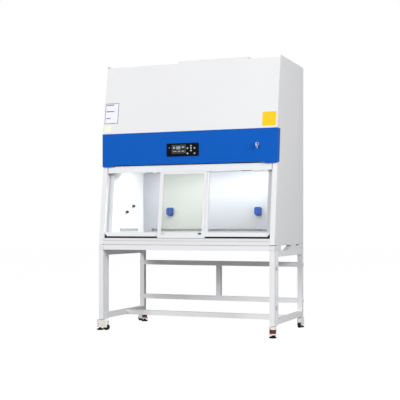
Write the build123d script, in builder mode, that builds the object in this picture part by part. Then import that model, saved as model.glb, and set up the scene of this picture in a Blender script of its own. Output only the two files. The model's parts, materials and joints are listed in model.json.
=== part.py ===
from build123d import *
import os
from math import cos, radians, sin, sqrt, tan

# Biosafety cabinet on a stand with levelling casters. Millimetres, +Z up, the front
# faces -Y, the origin is on the floor under the middle of the cabinet.
# Heights are from the floor. Values that end in _in are depths behind the front plane.

os.makedirs("parts", exist_ok=True)

# ---------------------------------------------------------------- driving dimensions
width = 1500
depth = 830
front = -depth / 2
rear = depth / 2
half = width / 2
sheet = 1.5
fit = 0.3
running = 0.06

# stand
tube = 40
tube_wall = 2
leg_depth = 100
leg_groove = 4
leg_groove_width = 40
leg_foot_z = 94
end_plate = 4
leg_top_z = 661
top_rail_height = 45
bottom_rail_z = 96
bottom_rail_height = 42
stand_top_z = 701
upper_bar_z = 530
lower_bar_z = 226
bar_gap = 3
crossbar_in = 441
cap_radius = 17
cap_height = 5
cap_in = 62

# cabinet body
body_bottom_z = 706
front_block_depth = 171
joint_reveal = 3
bracket_toe_in = 350
bracket_top_in = 483
bracket_notch_in = 602
bracket_heel_in = 725
bracket_notch = 14
fascia_bottom_z = 1349
fascia_top_z = 1610
fascia_in = 68
fascia_sheet = 2
fascia_tab = 10
fascia_tab_inset = 110
fascia_return_top = 80
fascia_return_bottom = 54
upper_lean = 9.1
upper_foot_in = 72
roof_z = 2160
front_top_z = 2168
side_top_z = 2185

# leaning window plane
window_lean = 7.2
window_foot_in = 4.6
window_foot_z = 735
post_width = 40
post_depth = 50
post_top_s = 1100

# sash, measured up the window plane (s) and out of it (n)
sash_inset = 46
sash_bottom_s = 37.3
bottom_rail_s = 70.6
top_rail_s = 562
sash_top_s = 612
lip_height = 7
door_hang = 13.3
track_s = 590
track_thick = 3
track_depth = 4.3
hanger_inset = 50
hanger_width = 40
hook_height = 10
lip_front_n = -2
door_front_n = -5
door_thick = 8
rail_depth = 20
pane_thick = 5
pane_seat = 8
sash_travel = 400
sash_corner = 20
lip_thick = 2.7

# sliding door in the sash
door_left_x = -234
door_right_x = 172
door_left_stile = 32
door_right_stile = 24
door_rail = 24
mullion_width = 22
pull_width = 32
pull_height = 20
pull_rise = 24.3

# sash lift
arm_s = 585
arm_height = 20
arm_inset = 25.3
clamp_front_n = -8
clamp_inset = 36
belt_n = -25
belt_width = 10
belt_thick = 2
pulley_radius = 14.7
flange_radius = 19
pulley_width = 13
pulley_inset = 20
idler_s = 545
shaft_s = 1040
shaft_radius = 6
idler_pin_radius = 4

# work chamber
wall_inset = 85
back_wall_in = 680
pan_z = 703
tray_z = 760
ceiling_z = 1318
tray_front_in = 112
grille_front_in = 30
grille_skirt_gap = 2
slot_z = 820
slot_height = 20
slot_width = 11
slot_pitch = 21.4
slot_count = 55
side_bar_front_in = 216
side_bar_rear_in = 556
side_bar_z = 824
side_bar_height = 20
side_bar_thick = 6

# air system
filter_height = 130
plenum_front_in = 215
plenum_gap = 10
plenum_top_z = 2040
fan_z = 1745
fan_radius = 180
inlet_radius = 118
collar_left_x = -155
collar_right_x = 455
collar_front_in = 260
collar_rear_in = 717
collar_top_z = 2204

# control panel
display_left_x = -172
display_right_x = 104
display_drop = 96
display_height = 104
bezel_thick = 4
module_inset = 8
module_depth = 16
screen_left_x = -127
screen_right_x = -7
screen_drop = 13
screen_height = 67
screen_thick = 1.4
key_radius = 7
key_height = 0.8
key_spots = [(39, 23), (9, 41), (39, 41), (69, 41), (39, 61), (9, 83), (69, 83)]
lamp_dot = (-148, 34)
lock_inset = 161
lock_drop = 128
lock_depth = 12
lock_rim = 1.5
plug_radius = 8
boss_radius = 12
key_reach = 10
bow_depth = 24
bow_height = 32
bow_thick = 3
bow_hole = 4

# fittings in the chamber
socket_x = 403
socket_z = 978
socket_width = 54
socket_height = 72
recess_radius = 21
recess_drop = 8
socket_depth = 26
lid_height = 60
lid_corner = 12
socket_ear = 8
ear_inset = 4
box_corner = 7
lid_thick = 8
hinge_radius = 4
hinge_pin_radius = 2
front_tap_in = 329
front_tap_z = 973
rear_tap_in = 454
rear_tap_z = 1025
tap_radius = 9
tap_length = 10
nozzle_radius = 4
knob_radius = 12
knob_length = 14
spindle_radius = 3
lamp_holder_x = 423
lamp_in = 290
lamp_radius = 8

# mains inlet on the roof
inlet_inset = 150
inlet_in = 70
inlet_half = 30
inlet_height = 22
gland_radius = 9
gland_bore = 4
gland_length = 18
gland_depth = 28
gland_rise = 12

# drain
drain_inset = 190
drain_in = 120
drain_radius = 10
lever_length = 60

# levelling casters
caster_in = 30
foot_radius = 28
foot_height = 13
screw_radius = 8
thumb_radius = 21
thumb_bottom_z = 43
thumb_height = 12
wheel_radius = 25
wheel_width = 26
wheel_clear = 1
wheel_trail = 38
foot_x = -24
screw_top_z = 75
kingpin_z = 81
axle_radius = 4
housing_top_z = 84
window_bottom_z = 34
window_top_z = 66
cheek_thick = 6
kingpin_radius = 6
race_radius = 15

# ------------------------------------------------------------------ derived geometry
window_plane = Plane(
    origin=(0, front + window_foot_in, window_foot_z),
    x_dir=(1, 0, 0),
    z_dir=(0, -cos(radians(window_lean)), sin(radians(window_lean))),
)
upper_plane = Plane(
    origin=(0, front + upper_foot_in, fascia_top_z),
    x_dir=(1, 0, 0),
    z_dir=(0, -cos(radians(upper_lean)), sin(radians(upper_lean))),
)
inner = half - sheet
sash_half = half - sash_inset
arm_reach = half - arm_inset
clamp_root = half - clamp_inset
pulley_x = half - pulley_inset
wall_x = half - wall_inset
plenum_half = wall_x - plenum_gap
fascia_tab_x = half - fascia_tab_inset
drain_x = half - drain_inset
display_top_z = fascia_top_z - display_drop
display_bottom_z = display_top_z - display_height
screen_top_z = display_top_z - screen_drop
screen_bottom_z = screen_top_z - screen_height
door_back_n = door_front_n - door_thick
rail_front_n = door_back_n - fit
rail_back_n = rail_front_n - rail_depth
pane_n = (rail_front_n + rail_back_n) / 2
door_bottom_s = sash_bottom_s - door_hang
door_top_s = top_rail_s + lip_height - 1
axle_z = wheel_radius + wheel_clear


def window_y(z):
    """Y of the leaning window plane at height z."""
    return front + window_foot_in + (z - window_foot_z) * tan(radians(window_lean))


def upper_y(z):
    """Y of the leaning upper front at height z."""
    return front + upper_foot_in + (z - fascia_top_z) * tan(radians(upper_lean))


def block(x, y, z, mode=Mode.ADD):
    """A box between two limits along each axis of the current locations."""
    with Locations(((x[0] + x[1]) / 2, (y[0] + y[1]) / 2, (z[0] + z[1]) / 2)):
        Box(abs(x[1] - x[0]), abs(y[1] - y[0]), abs(z[1] - z[0]), mode=mode)


def mirrored(side, low, high):
    """An X range given for the right side, or its mirror image for the left."""
    return (side * low, side * high)


def rod_x(radius, x, y, z, mode=Mode.ADD):
    """A cylinder along X between two X limits, centred on y and z."""
    with Locations(((x[0] + x[1]) / 2, y, z)):
        Cylinder(radius, abs(x[1] - x[0]), rotation=(0, 90, 0), mode=mode)


def rod_y(radius, x, y, z, mode=Mode.ADD):
    """A cylinder along Y between two Y limits, centred on x and z."""
    with Locations((x, (y[0] + y[1]) / 2, z)):
        Cylinder(radius, abs(y[1] - y[0]), rotation=(90, 0, 0), mode=mode)


def rod_z(radius, x, y, z, mode=Mode.ADD):
    """A cylinder along Z between two Z limits, centred on x and y."""
    with Locations((x, y, (z[0] + z[1]) / 2)):
        Cylinder(radius, abs(z[1] - z[0]), mode=mode)


# ============================================================================= stand
def leg_profile(shrink):
    """The front leg's section, with a shallow groove down each side."""
    a, b = tube / 2 - shrink, leg_depth / 2 - shrink
    g = leg_groove_width / 2 + shrink
    d = leg_groove
    return [
        (-a, -b), (a, -b), (a, -g), (a - d, -g + d), (a - d, g - d), (a, g),
        (a, b), (-a, b), (-a, g), (-a + d, g - d), (-a + d, -g + d), (-a, -g),
    ]


leg_x = half - tube / 2
rail_y = (front + leg_depth, rear - tube)
caster_spots = {
    "front_left": (-leg_x, front + caster_in, -8),
    "front_right": (leg_x, front + caster_in, 100),
    "rear_left": (-leg_x, rear - tube / 2, 150),
    "rear_right": (leg_x, rear - tube / 2, -85),
}

# Each side frame is welded: front leg, rear leg, top rail, bottom rail, and an end plate
# with a caster kingpin under each leg. The tubes are hollow and open to each other.
for side, name in ((-1, "left"), (1, "right")):
    x = side * leg_x
    with BuildPart() as side_frame:
        with BuildSketch(Plane.XY.offset(leg_foot_z)) as leg_section:
            with BuildLine(Plane.XY):
                Polyline(*[(x + a, front + leg_depth / 2 + b) for a, b in leg_profile(0)], close=True)
            make_face()
        extrude(amount=leg_top_z - leg_foot_z)
        block((x - tube / 2, x + tube / 2), (rear - tube, rear), (leg_foot_z, leg_top_z))
        top_rail = (leg_top_z - top_rail_height, leg_top_z)
        low_rail = (bottom_rail_z, bottom_rail_z + bottom_rail_height)
        for low, high in (top_rail, low_rail):
            block((x - tube / 2, x + tube / 2), rail_y, (low, high))
        with BuildSketch(Plane.XY.offset(leg_foot_z)) as leg_hollow:
            with BuildLine(Plane.XY):
                Polyline(*[(x + a, front + leg_depth / 2 + b) for a, b in leg_profile(tube_wall)],
                         close=True)
            make_face()
        extrude(amount=leg_top_z - leg_foot_z, mode=Mode.SUBTRACT)
        bore = tube / 2 - tube_wall
        block((x - bore, x + bore), (rear - tube + tube_wall, rear - tube_wall), (leg_foot_z, leg_top_z),
              Mode.SUBTRACT)
        for low, high in (top_rail, low_rail):
            cavity = (low + tube_wall, high - tube_wall)
            block((x - bore, x + bore), (rail_y[0] - tube_wall, rail_y[1] + tube_wall), cavity,
                  Mode.SUBTRACT)
        plate = (leg_foot_z - end_plate, leg_foot_z)
        block((x - tube / 2, x + tube / 2), (front, front + leg_depth), plate)
        block((x - tube / 2, x + tube / 2), (rear - tube, rear), plate)
        for spot_x, spot_y, _ in caster_spots.values():
            if spot_x * side > 0:
                rod_z(kingpin_radius, spot_x, spot_y, (kingpin_z, plate[0]))
    side_frame.part.label = f"side_frame_{name}"
    export_step(side_frame.part, f"parts/side_frame_{name}.step")

# front top rail between the corner blocks of the cabinet base
with BuildPart() as front_top_rail:
    rail_x = half - tube - bar_gap
    block((-rail_x, rail_x), (front, front + tube), (leg_top_z, stand_top_z - fit))
    hollow = (leg_top_z + tube_wall, stand_top_z - fit - tube_wall)
    block((-rail_x, rail_x), (front + tube_wall, front + tube - tube_wall), hollow, Mode.SUBTRACT)
    for side in (-1, 1):
        block(mirrored(side, rail_x - tube, half - tube), (front + tube_wall, front + tube - tube_wall),
              hollow)
front_top_rail.part.label = "front_top_rail"
export_step(front_top_rail.part, "parts/front_top_rail.step")

# rear brace: two crossbars and a centre upright, with a narrow spigot at each bar end
with BuildPart() as rear_brace:
    bar_x = half - tube - bar_gap
    bar_y = (rear - tube, rear)
    bore_y = (rear - tube + tube_wall, rear - tube_wall)
    for z in (upper_bar_z, lower_bar_z):
        block((-bar_x, bar_x), bar_y, (z - tube / 2, z + tube / 2))
    upright = (lower_bar_z + tube / 2, upper_bar_z - tube / 2)
    block((-tube / 2, tube / 2), bar_y, upright)
    for z in (upper_bar_z, lower_bar_z):
        block((-bar_x, bar_x), bore_y, (z - tube / 2 + tube_wall, z + tube / 2 - tube_wall), Mode.SUBTRACT)
        for side in (-1, 1):
            block(mirrored(side, bar_x - tube, half - tube), bore_y,
                  (z - tube / 2 + tube_wall, z + tube / 2 - tube_wall))
    bore = tube / 2 - tube_wall
    block((-bore, bore), bore_y, (upright[0] - tube_wall, upright[1] + tube_wall), Mode.SUBTRACT)
rear_brace.part.label = "rear_brace"
export_step(rear_brace.part, "parts/rear_brace.step")

# lower crossbar between the bottom side rails
with BuildPart() as lower_crossbar:
    bar_y = (front + crossbar_in - tube / 2, front + crossbar_in + tube / 2)
    bar_z = (bottom_rail_z, bottom_rail_z + tube)
    block((-half + tube, half - tube), bar_y, bar_z)
    block((-half + tube, half - tube), (bar_y[0] + tube_wall, bar_y[1] - tube_wall),
          (bar_z[0] + tube_wall, bar_z[1] - tube_wall), Mode.SUBTRACT)
lower_crossbar.part.label = "lower_crossbar"
export_step(lower_crossbar.part, "parts/lower_crossbar.step")

# domed caps over the stand's bolts, on the outer faces of legs and bottom rails
cap_places = [(front + cap_in, upper_bar_z), (front + cap_in, lower_bar_z),
              (rear - tube / 2, upper_bar_z), (rear - tube / 2, lower_bar_z)]
with BuildPart() as stand_caps:
    for side in (-1, 1):
        for y, z in cap_places:
            rod_x(cap_radius, mirrored(side, half, half + cap_height), y, z)
        rod_x(cap_radius / 2, mirrored(side, half, half + cap_height), front + crossbar_in,
              bottom_rail_z + tube / 2)
    chamfer(stand_caps.edges().group_by(Axis.X)[0] + stand_caps.edges().group_by(Axis.X)[-1],
            cap_height / 3)
stand_caps.part.label = "stand_caps"
export_step(stand_caps.part, "parts/stand_caps.step")

# ====================================================================== cabinet shell
# base: sump pan with upturned edges, front corner blocks and rear brackets under it
with BuildPart() as cabinet_base:
    pan_x = inner - fit
    pan_front = front + grille_front_in - grille_skirt_gap
    pan_y = (pan_front, rear - sheet - fit)
    block((-pan_x, pan_x), pan_y, (stand_top_z, pan_z))
    for side in (-1, 1):
        block(mirrored(side, pan_x - sheet, pan_x), (front + post_depth + 20, pan_y[1]),
              (stand_top_z, window_foot_z))
    block((-pan_x, pan_x), (pan_y[1] - sheet, pan_y[1]), (stand_top_z, window_foot_z))
    for side in (-1, 1):
        block(mirrored(side, half - tube, half), (front, front + front_block_depth),
              (leg_top_z + joint_reveal, stand_top_z))
        block(mirrored(side, half - tube + joint_reveal, half - joint_reveal),
              (front + joint_reveal, front + front_block_depth - joint_reveal), (leg_top_z, stand_top_z))
        with BuildSketch(Plane.YZ.offset(side * (half - tube / 2))) as bracket:
            with BuildLine():
                Polyline((front + bracket_toe_in, leg_top_z), (front + bracket_top_in, stand_top_z),
                         (front + bracket_notch_in, stand_top_z),
                         (front + bracket_notch_in, stand_top_z - bracket_notch),
                         (front + bracket_heel_in, stand_top_z), (rear, stand_top_z), (rear,
                                                                                       leg_top_z), close=True)
            make_face()
        extrude(amount=tube / 2, both=True)
    rod_z(drain_radius, drain_x, front + drain_in, (stand_top_z, pan_z), Mode.SUBTRACT)
cabinet_base.part.label = "cabinet_base"
export_step(cabinet_base.part, "parts/cabinet_base.step")

# outer side panels: one sheet each, cut to the front's outline
side_outline = [
    (rear, body_bottom_z), (rear, side_top_z), (upper_y(side_top_z), side_top_z),
    (upper_y(fascia_top_z), fascia_top_z), (window_y(fascia_bottom_z), fascia_bottom_z),
    (window_y(body_bottom_z), body_bottom_z),
]
for side, name in ((-1, "left"), (1, "right")):
    with BuildPart() as side_panel:
        with BuildSketch(Plane.YZ.offset(min(side * half, side * inner))):
            with BuildLine():
                Polyline(*side_outline, close=True)
            make_face()
        extrude(amount=sheet)
    side_panel.part.label = f"side_panel_{name}"
    export_step(side_panel.part, f"parts/side_panel_{name}.step")

with BuildPart() as rear_panel:
    block((-inner, inner), (rear - sheet, rear), (body_bottom_z, roof_z))
rear_panel.part.label = "rear_panel"
export_step(rear_panel.part, "parts/rear_panel.step")

with BuildPart() as top_panel:
    block((-inner, inner), (upper_y(roof_z) + 2 * sheet, rear), (roof_z, roof_z + sheet))
    block((collar_left_x + 10, collar_right_x - 10),
          (front + collar_front_in + 10, front + collar_rear_in - 10),
          (roof_z, roof_z + sheet), Mode.SUBTRACT)
top_panel.part.label = "top_panel"
export_step(top_panel.part, "parts/top_panel.step")

with BuildPart() as upper_front_panel:
    lift = (front_top_z - fascia_top_z) / cos(radians(upper_lean))
    with Locations(upper_plane):
        block((-inner, inner), (2 * fit, lift), (-sheet, 0))
    lip = (upper_y(front_top_z) + sheet / 2, upper_y(front_top_z) + 20)
    block((-inner, inner), lip, (front_top_z - sheet, front_top_z))
upper_front_panel.part.label = "upper_front_panel"
export_step(upper_front_panel.part, "parts/upper_front_panel.step")

# control fascia: upright front sheet with a display cut-out and returns round the sides
with BuildPart() as control_fascia:
    wrap = half + fascia_sheet
    tab_z = fascia_bottom_z - fascia_tab
    with BuildSketch(Plane.XZ.offset(-(front + fascia_in + fascia_sheet))) as fascia_face:
        with BuildLine():
            Polyline((-wrap, fascia_top_z), (wrap, fascia_top_z), (wrap, tab_z),
                     (fascia_tab_x + fascia_tab, tab_z),
                     (fascia_tab_x, fascia_bottom_z), (-fascia_tab_x, fascia_bottom_z),
                     (-fascia_tab_x - fascia_tab, tab_z), (-wrap, tab_z), close=True)
        make_face()
        low_corners = fascia_face.vertices().group_by(Axis.Z)[0].sort_by(Axis.X)
        fillet([low_corners[0], low_corners[-1]], 14)
    extrude(amount=fascia_sheet)
    face_in = front + fascia_in
    for side in (-1, 1):
        with BuildSketch(Plane.YZ.offset(min(side * half, side * wrap))) as fascia_return:
            with BuildLine():
                Polyline((face_in, fascia_top_z), (face_in + fascia_return_top, fascia_top_z),
                         (face_in + fascia_return_bottom, fascia_bottom_z),
                         (face_in + 12, tab_z + 4), (face_in + fascia_sheet, fascia_bottom_z), close=True)
            make_face()
        extrude(amount=fascia_sheet)
    block((-inner + fit, inner - fit), (face_in, face_in + 18), (fascia_top_z - fascia_sheet, fascia_top_z))
    block((display_left_x + module_inset - fit, display_right_x - module_inset + fit),
          (face_in, face_in + fascia_sheet),
          (display_bottom_z + module_inset - fit, display_top_z - module_inset + fit), Mode.SUBTRACT)
    lock_place = (half - lock_inset, fascia_top_z - lock_drop)
    rod_y(boss_radius, lock_place[0], (face_in, face_in + lock_depth), lock_place[1])
    rod_y(plug_radius + running, lock_place[0], (face_in - fascia_sheet, face_in + lock_depth),
          lock_place[1], Mode.SUBTRACT)
control_fascia.part.label = "control_fascia"
export_step(control_fascia.part, "parts/control_fascia.step")

# key in its lock: the plug turns in a boss behind the fascia, between a rim and a flange
lock_x, lock_z = lock_place
lock_front = face_in - fascia_sheet - fit
lock_rear = face_in + lock_depth + fit
with BuildPart() as panel_key:
    rod_y(plug_radius, lock_x, (lock_front - lock_rim, lock_rear + lock_rim), lock_z)
    rod_y(plug_radius + 2, lock_x, (lock_front - lock_rim, lock_front), lock_z)
    rod_y(boss_radius - 1, lock_x, (lock_rear, lock_rear + lock_rim), lock_z)
    bow_front = lock_front - key_reach - bow_depth
    block((lock_x - bow_thick / 2, lock_x + bow_thick / 2), (bow_front, bow_front + bow_depth),
          (lock_z - bow_height / 2, lock_z + bow_height / 2))
    fillet(panel_key.edges().filter_by(Axis.X).group_by(Axis.Y)[0], 9)
    block((lock_x - bow_thick / 3, lock_x + bow_thick / 3), (bow_front + bow_depth - 1, lock_front),
          (lock_z - bow_hole, lock_z + bow_hole))
    rod_x(bow_hole, (lock_x - bow_thick, lock_x + bow_thick), bow_front + 2 * bow_hole,
          lock_z + bow_hole, Mode.SUBTRACT)
panel_key.part.label = "panel_key"
export_step(panel_key.part, "parts/panel_key.step")

# display bezel with its module behind it, a screen recess, sealed touch keys and a lamp dot
with BuildPart() as display_bezel:
    with BuildSketch(Plane.XZ.offset(-face_in)):
        with Locations(((display_left_x + display_right_x) / 2, (display_bottom_z + display_top_z) / 2)):
            RectangleRounded(display_right_x - display_left_x, display_top_z - display_bottom_z, 6)
    extrude(amount=bezel_thick)
    block((display_left_x + module_inset, display_right_x - module_inset),
          (face_in, face_in + module_depth),
          (display_bottom_z + module_inset, display_top_z - module_inset))
    block((screen_left_x, screen_right_x),
          (face_in - bezel_thick, face_in - bezel_thick + screen_thick + fit),
          (screen_bottom_z, screen_top_z), Mode.SUBTRACT)
    key_y = (face_in - bezel_thick - key_height, face_in - bezel_thick)
    for key_x, key_drop in key_spots:
        rod_y(key_radius, key_x, key_y, display_top_z - key_drop)
    rod_y(key_radius / 2, lamp_dot[0], key_y, display_top_z - lamp_dot[1])
display_bezel.part.label = "display_bezel"
export_step(display_bezel.part, "parts/display_bezel.step")

with BuildPart() as display_screen:
    block((screen_left_x, screen_right_x),
          (face_in - bezel_thick + fit, face_in - bezel_thick + screen_thick + fit),
          (screen_bottom_z, screen_top_z))
display_screen.part.label = "display_screen"
export_step(display_screen.part, "parts/display_screen.step")

# front sill and apron: one hollow section with a shadow groove under the sill's lip
sill_front = front + 2
sill_depth = 24
sill_z = 755
groove_z = 733
groove_height = 3
groove_depth = 5
with BuildPart() as front_sill:
    with BuildSketch(Plane.YZ) as sill_section:
        with BuildLine():
            Polyline((sill_front, groove_z + groove_height), (sill_front, sill_z),
                     (sill_front + sill_depth, sill_z),
                     (sill_front + sill_depth, pan_z), (sill_front + 1, pan_z), (sill_front + 1, groove_z),
                     (sill_front + groove_depth, groove_z), (sill_front + groove_depth,
                                                             groove_z + groove_height),
                     close=True)
        make_face()
        fillet(sill_section.vertices().group_by(Axis.Z)[-1].sort_by(Axis.Y)[0], 6)
        with Locations((sill_front + sill_depth / 2 + 3, (pan_z + groove_z) / 2)):
            Rectangle(sill_depth - 10, groove_z - pan_z - 2 * tube_wall, mode=Mode.SUBTRACT)
    extrude(amount=half - post_width - 2 * fit, both=True)
front_sill.part.label = "front_sill"
export_step(front_sill.part, "parts/front_sill.step")

# ================================================================ sash guides and lift
# a folded channel behind each side of the window, slotted for the sash's lifting arm
slot_low = arm_s - 5
slot_high = arm_s + arm_height + sash_travel + 5
guide_inner = half - post_width
with BuildPart() as sash_guides:
    for side in (-1, 1):
        with Locations(window_plane):
            block(mirrored(side, guide_inner, inner), (-60, post_top_s), (-sheet, 0))
            block(mirrored(side, guide_inner, inner), (-60, post_top_s), (-post_depth, -post_depth + sheet))
            block(mirrored(side, guide_inner, guide_inner + sheet), (-60, post_top_s), (-post_depth, 0))
            block(mirrored(side, guide_inner - 1, guide_inner + 2 * sheet), (slot_low, slot_high),
                  (rail_back_n - 1, rail_front_n + 1), Mode.SUBTRACT)
            rod_x(shaft_radius + running, mirrored(side, guide_inner - 1, guide_inner + 2 * sheet), shaft_s,
                  belt_n,
                  Mode.SUBTRACT)
            rod_x(idler_pin_radius, mirrored(side, guide_inner + sheet, inner - 2), idler_s, belt_n)
    split(bisect_by=Plane.XY.offset(body_bottom_z), keep=Keep.TOP)
sash_guides.part.label = "sash_guides"
export_step(sash_guides.part, "parts/sash_guides.step")

# closed toothed belts, one in each guide
with BuildPart() as lift_belts:
    for side in (-1, 1):
        middle = window_plane.from_local_coords((side * pulley_x, (idler_s + shaft_s) / 2, belt_n))
        loop_plane = Plane(origin=middle, x_dir=window_plane.y_dir, z_dir=(1, 0, 0))
        with BuildSketch(loop_plane):
            SlotCenterToCenter(shaft_s - idler_s, 2 * (pulley_radius + fit + belt_thick))
            SlotCenterToCenter(shaft_s - idler_s, 2 * (pulley_radius + fit), mode=Mode.SUBTRACT)
        extrude(amount=belt_width / 2, both=True)
lift_belts.part.label = "lift_belts"
export_step(lift_belts.part, "parts/lift_belts.step")


def pulley(side, s):
    """A flanged belt pulley, centred on one guide's belt at s."""
    rod_x(pulley_radius, mirrored(side, pulley_x - pulley_width / 2, pulley_x + pulley_width / 2), s,
          belt_n)
    for edge in (-1, 1):
        outer = pulley_x + edge * pulley_width / 2
        rod_x(flange_radius, mirrored(side, outer - edge, outer), s, belt_n)


with BuildPart() as lift_shaft:
    with Locations(window_plane):
        rod_x(shaft_radius, (-inner + 3, inner - 3), shaft_s, belt_n)
        for side in (-1, 1):
            pulley(side, shaft_s)
lift_shaft.part.label = "lift_shaft"
export_step(lift_shaft.part, "parts/lift_shaft.step")

with BuildPart() as idler_pulleys:
    with Locations(window_plane):
        for side in (-1, 1):
            pulley(side, idler_s)
            rod_x(idler_pin_radius + running, mirrored(side, guide_inner, inner), idler_s, belt_n,
                  Mode.SUBTRACT)
idler_pulleys.part.label = "idler_pulleys"
export_step(idler_pulleys.part, "parts/idler_pulleys.step")

# gear motor on the lift shaft, held to the plenum by a bracket
motor_x = 300
gearbox_width = 80
with BuildPart() as lift_motor:
    with Locations(window_plane):
        block((motor_x, motor_x + gearbox_width), (shaft_s - 18, shaft_s + 60), (-58, -4))
        rod_x(25, (motor_x + gearbox_width, motor_x + gearbox_width + 110), shaft_s + 34, -31)
    back = window_plane.from_local_coords((0, shaft_s + 20, -50))
    block((motor_x, motor_x + gearbox_width), (back.Y, front + plenum_front_in), (back.Z - 15, back.Z + 15))
    with Locations(window_plane):
        rod_x(shaft_radius + running, (motor_x - 1, motor_x + gearbox_width + 120), shaft_s, belt_n,
              Mode.SUBTRACT)
lift_motor.part.label = "lift_motor"
export_step(lift_motor.part, "parts/lift_motor.step")

# =============================================================================== sash
mullions = ((door_left_x - 4, door_left_x - 4 + mullion_width),
            (door_right_x - 4, door_right_x - 4 + mullion_width))
with BuildPart() as sash_frame:
    with Locations(window_plane):
        block((-sash_half, sash_half), (top_rail_s, sash_top_s), (rail_back_n, rail_front_n))
        block((-sash_half, sash_half), (sash_top_s - lip_thick, sash_top_s), (rail_back_n, lip_front_n))
        block((-sash_half, sash_half), (top_rail_s - lip_height + 2, sash_top_s),
              (lip_front_n - lip_thick, lip_front_n))
        block((-sash_half, sash_half), (sash_bottom_s, bottom_rail_s), (rail_back_n, rail_front_n))
        track_front_n = rail_front_n + track_depth
        block((-sash_half, sash_half), (track_s, track_s + track_thick), (rail_front_n, track_front_n))
        for low, high in mullions:
            block((low, high), (bottom_rail_s, top_rail_s), (rail_back_n, rail_front_n))
        for side in (-1, 1):
            block(mirrored(side, sash_half, arm_reach), (arm_s, arm_s + arm_height),
                  (rail_back_n + 3, rail_front_n - 3))
            block(mirrored(side, clamp_root, arm_reach), (arm_s, arm_s + arm_height),
                  (rail_back_n + 3, clamp_front_n))
        pane_half = pane_thick / 2
        for low, high in ((-sash_half, mullions[0][0] + pane_seat),
                          (mullions[1][1] - pane_seat, sash_half)):
            block((low, high), (bottom_rail_s - pane_seat, top_rail_s + pane_seat),
                  (pane_n - pane_half, pane_n + pane_half),
                  Mode.SUBTRACT)
    with Locations(window_plane):
        for side in (-1, 1):
            with Locations(Location((side * sash_half, sash_bottom_s, rail_back_n), (0, 0, 45))):
                Box(sqrt(2) * sash_corner, sqrt(2) * sash_corner, 3 * rail_depth, mode=Mode.SUBTRACT)
sash_frame.part.label = "sash_frame"
export_step(sash_frame.part, "parts/sash_frame.step")

with BuildPart() as sash_side_panes:
    with Locations(window_plane):
        for low, high in ((-sash_half, mullions[0][0] + pane_seat),
                          (mullions[1][1] - pane_seat, sash_half)):
            block((low, high), (bottom_rail_s - pane_seat, top_rail_s + pane_seat),
                  (pane_n - pane_half, pane_n + pane_half))
sash_side_panes.part.label = "sash_side_panes"
export_step(sash_side_panes.part, "parts/sash_side_panes.step")

# sliding door: aluminium frame hung from the sash's track by two hooks, with two finger
# pulls on its bottom rail
glass_x = (door_left_x + door_left_stile, door_right_x - door_right_stile)
glass_s = (bottom_rail_s, top_rail_s - door_rail)
door_n = (door_back_n, door_front_n)
with BuildPart() as door_frame:
    with Locations(window_plane):
        block((door_left_x, door_right_x), (door_bottom_s, door_top_s), door_n)
        block(glass_x, glass_s, door_n, Mode.SUBTRACT)
        seat = (door_back_n + 1.5, door_front_n - 1.5)
        block((glass_x[0] - pane_seat, glass_x[1] + pane_seat),
              (glass_s[0] - pane_seat, glass_s[1] + pane_seat), seat,
              Mode.SUBTRACT)
        for pull_x in (glass_x[0] + pull_width / 2, glass_x[1] - pull_width / 2):
            pull_s = door_bottom_s + pull_rise + pull_height / 2
            block((pull_x - pull_width / 2, pull_x + pull_width / 2),
                  (pull_s - pull_height / 2, pull_s + pull_height / 2),
                  (door_front_n, door_front_n + 3.5))
            block((pull_x - pull_width / 2 + 3, pull_x + pull_width / 2 - 3),
                  (pull_s - pull_height / 2 + 3, pull_s + pull_height / 2 - 3), (door_front_n + 1,
                                                                                 door_front_n + 3.5),
                  Mode.SUBTRACT)
        hanger_n = (track_front_n + fit, track_front_n + fit + track_thick)
        for hanger_x in (door_left_x + hanger_inset, door_right_x - hanger_inset):
            hanger = (hanger_x - hanger_width / 2, hanger_x + hanger_width / 2)
            block(hanger, (door_top_s, track_s + track_thick + hook_height), hanger_n)
            block(hanger, (track_s + track_thick + fit, track_s + track_thick + hook_height),
                  (rail_front_n + fit, hanger_n[1]))
door_frame.part.label = "door_frame"
export_step(door_frame.part, "parts/door_frame.step")

with BuildPart() as door_pane:
    with Locations(window_plane):
        block((glass_x[0] - pane_seat, glass_x[1] + pane_seat),
              (glass_s[0] - pane_seat, glass_s[1] + pane_seat), seat)
door_pane.part.label = "door_pane"
export_step(door_pane.part, "parts/door_pane.step")

# ======================================================================= work chamber
with BuildPart() as liner_side_walls:
    wall_front = post_depth + sheet
    wall_rear = front + back_wall_in
    front_at = window_y(ceiling_z) + wall_front / cos(radians(window_lean))
    front_base = window_y(tray_z) + wall_front / cos(radians(window_lean))
    for side in (-1, 1):
        with BuildSketch(Plane.YZ.offset(min(side * wall_x, side * (wall_x + sheet)))):
            with BuildLine():
                Polyline((wall_rear, pan_z), (wall_rear, ceiling_z), (front_at, ceiling_z),
                         (front_base, tray_z),
                         (front_base, pan_z), close=True)
            make_face()
        extrude(amount=sheet)
        with Locations(window_plane):
            block(mirrored(side, wall_x, inner - fit), (24, 585), (-wall_front, -post_depth))
        bar_y = (front + side_bar_front_in, front + side_bar_rear_in)
        block(mirrored(side, wall_x - side_bar_thick, wall_x), bar_y,
              (side_bar_z - side_bar_height / 2, side_bar_z + side_bar_height / 2))
liner_side_walls.part.label = "liner_side_walls"
export_step(liner_side_walls.part, "parts/liner_side_walls.step")

with BuildPart() as liner_back_wall:
    block((-wall_x - sheet, wall_x + sheet), (wall_rear, wall_rear + sheet), (tray_z - 3, ceiling_z))
    with Locations((0, wall_rear, slot_z)):
        with GridLocations(slot_pitch, slot_pitch, slot_count, 1):
            Box(slot_width, 6 * sheet, slot_height, mode=Mode.SUBTRACT)
liner_back_wall.part.label = "liner_back_wall"
export_step(liner_back_wall.part, "parts/liner_back_wall.step")

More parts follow.
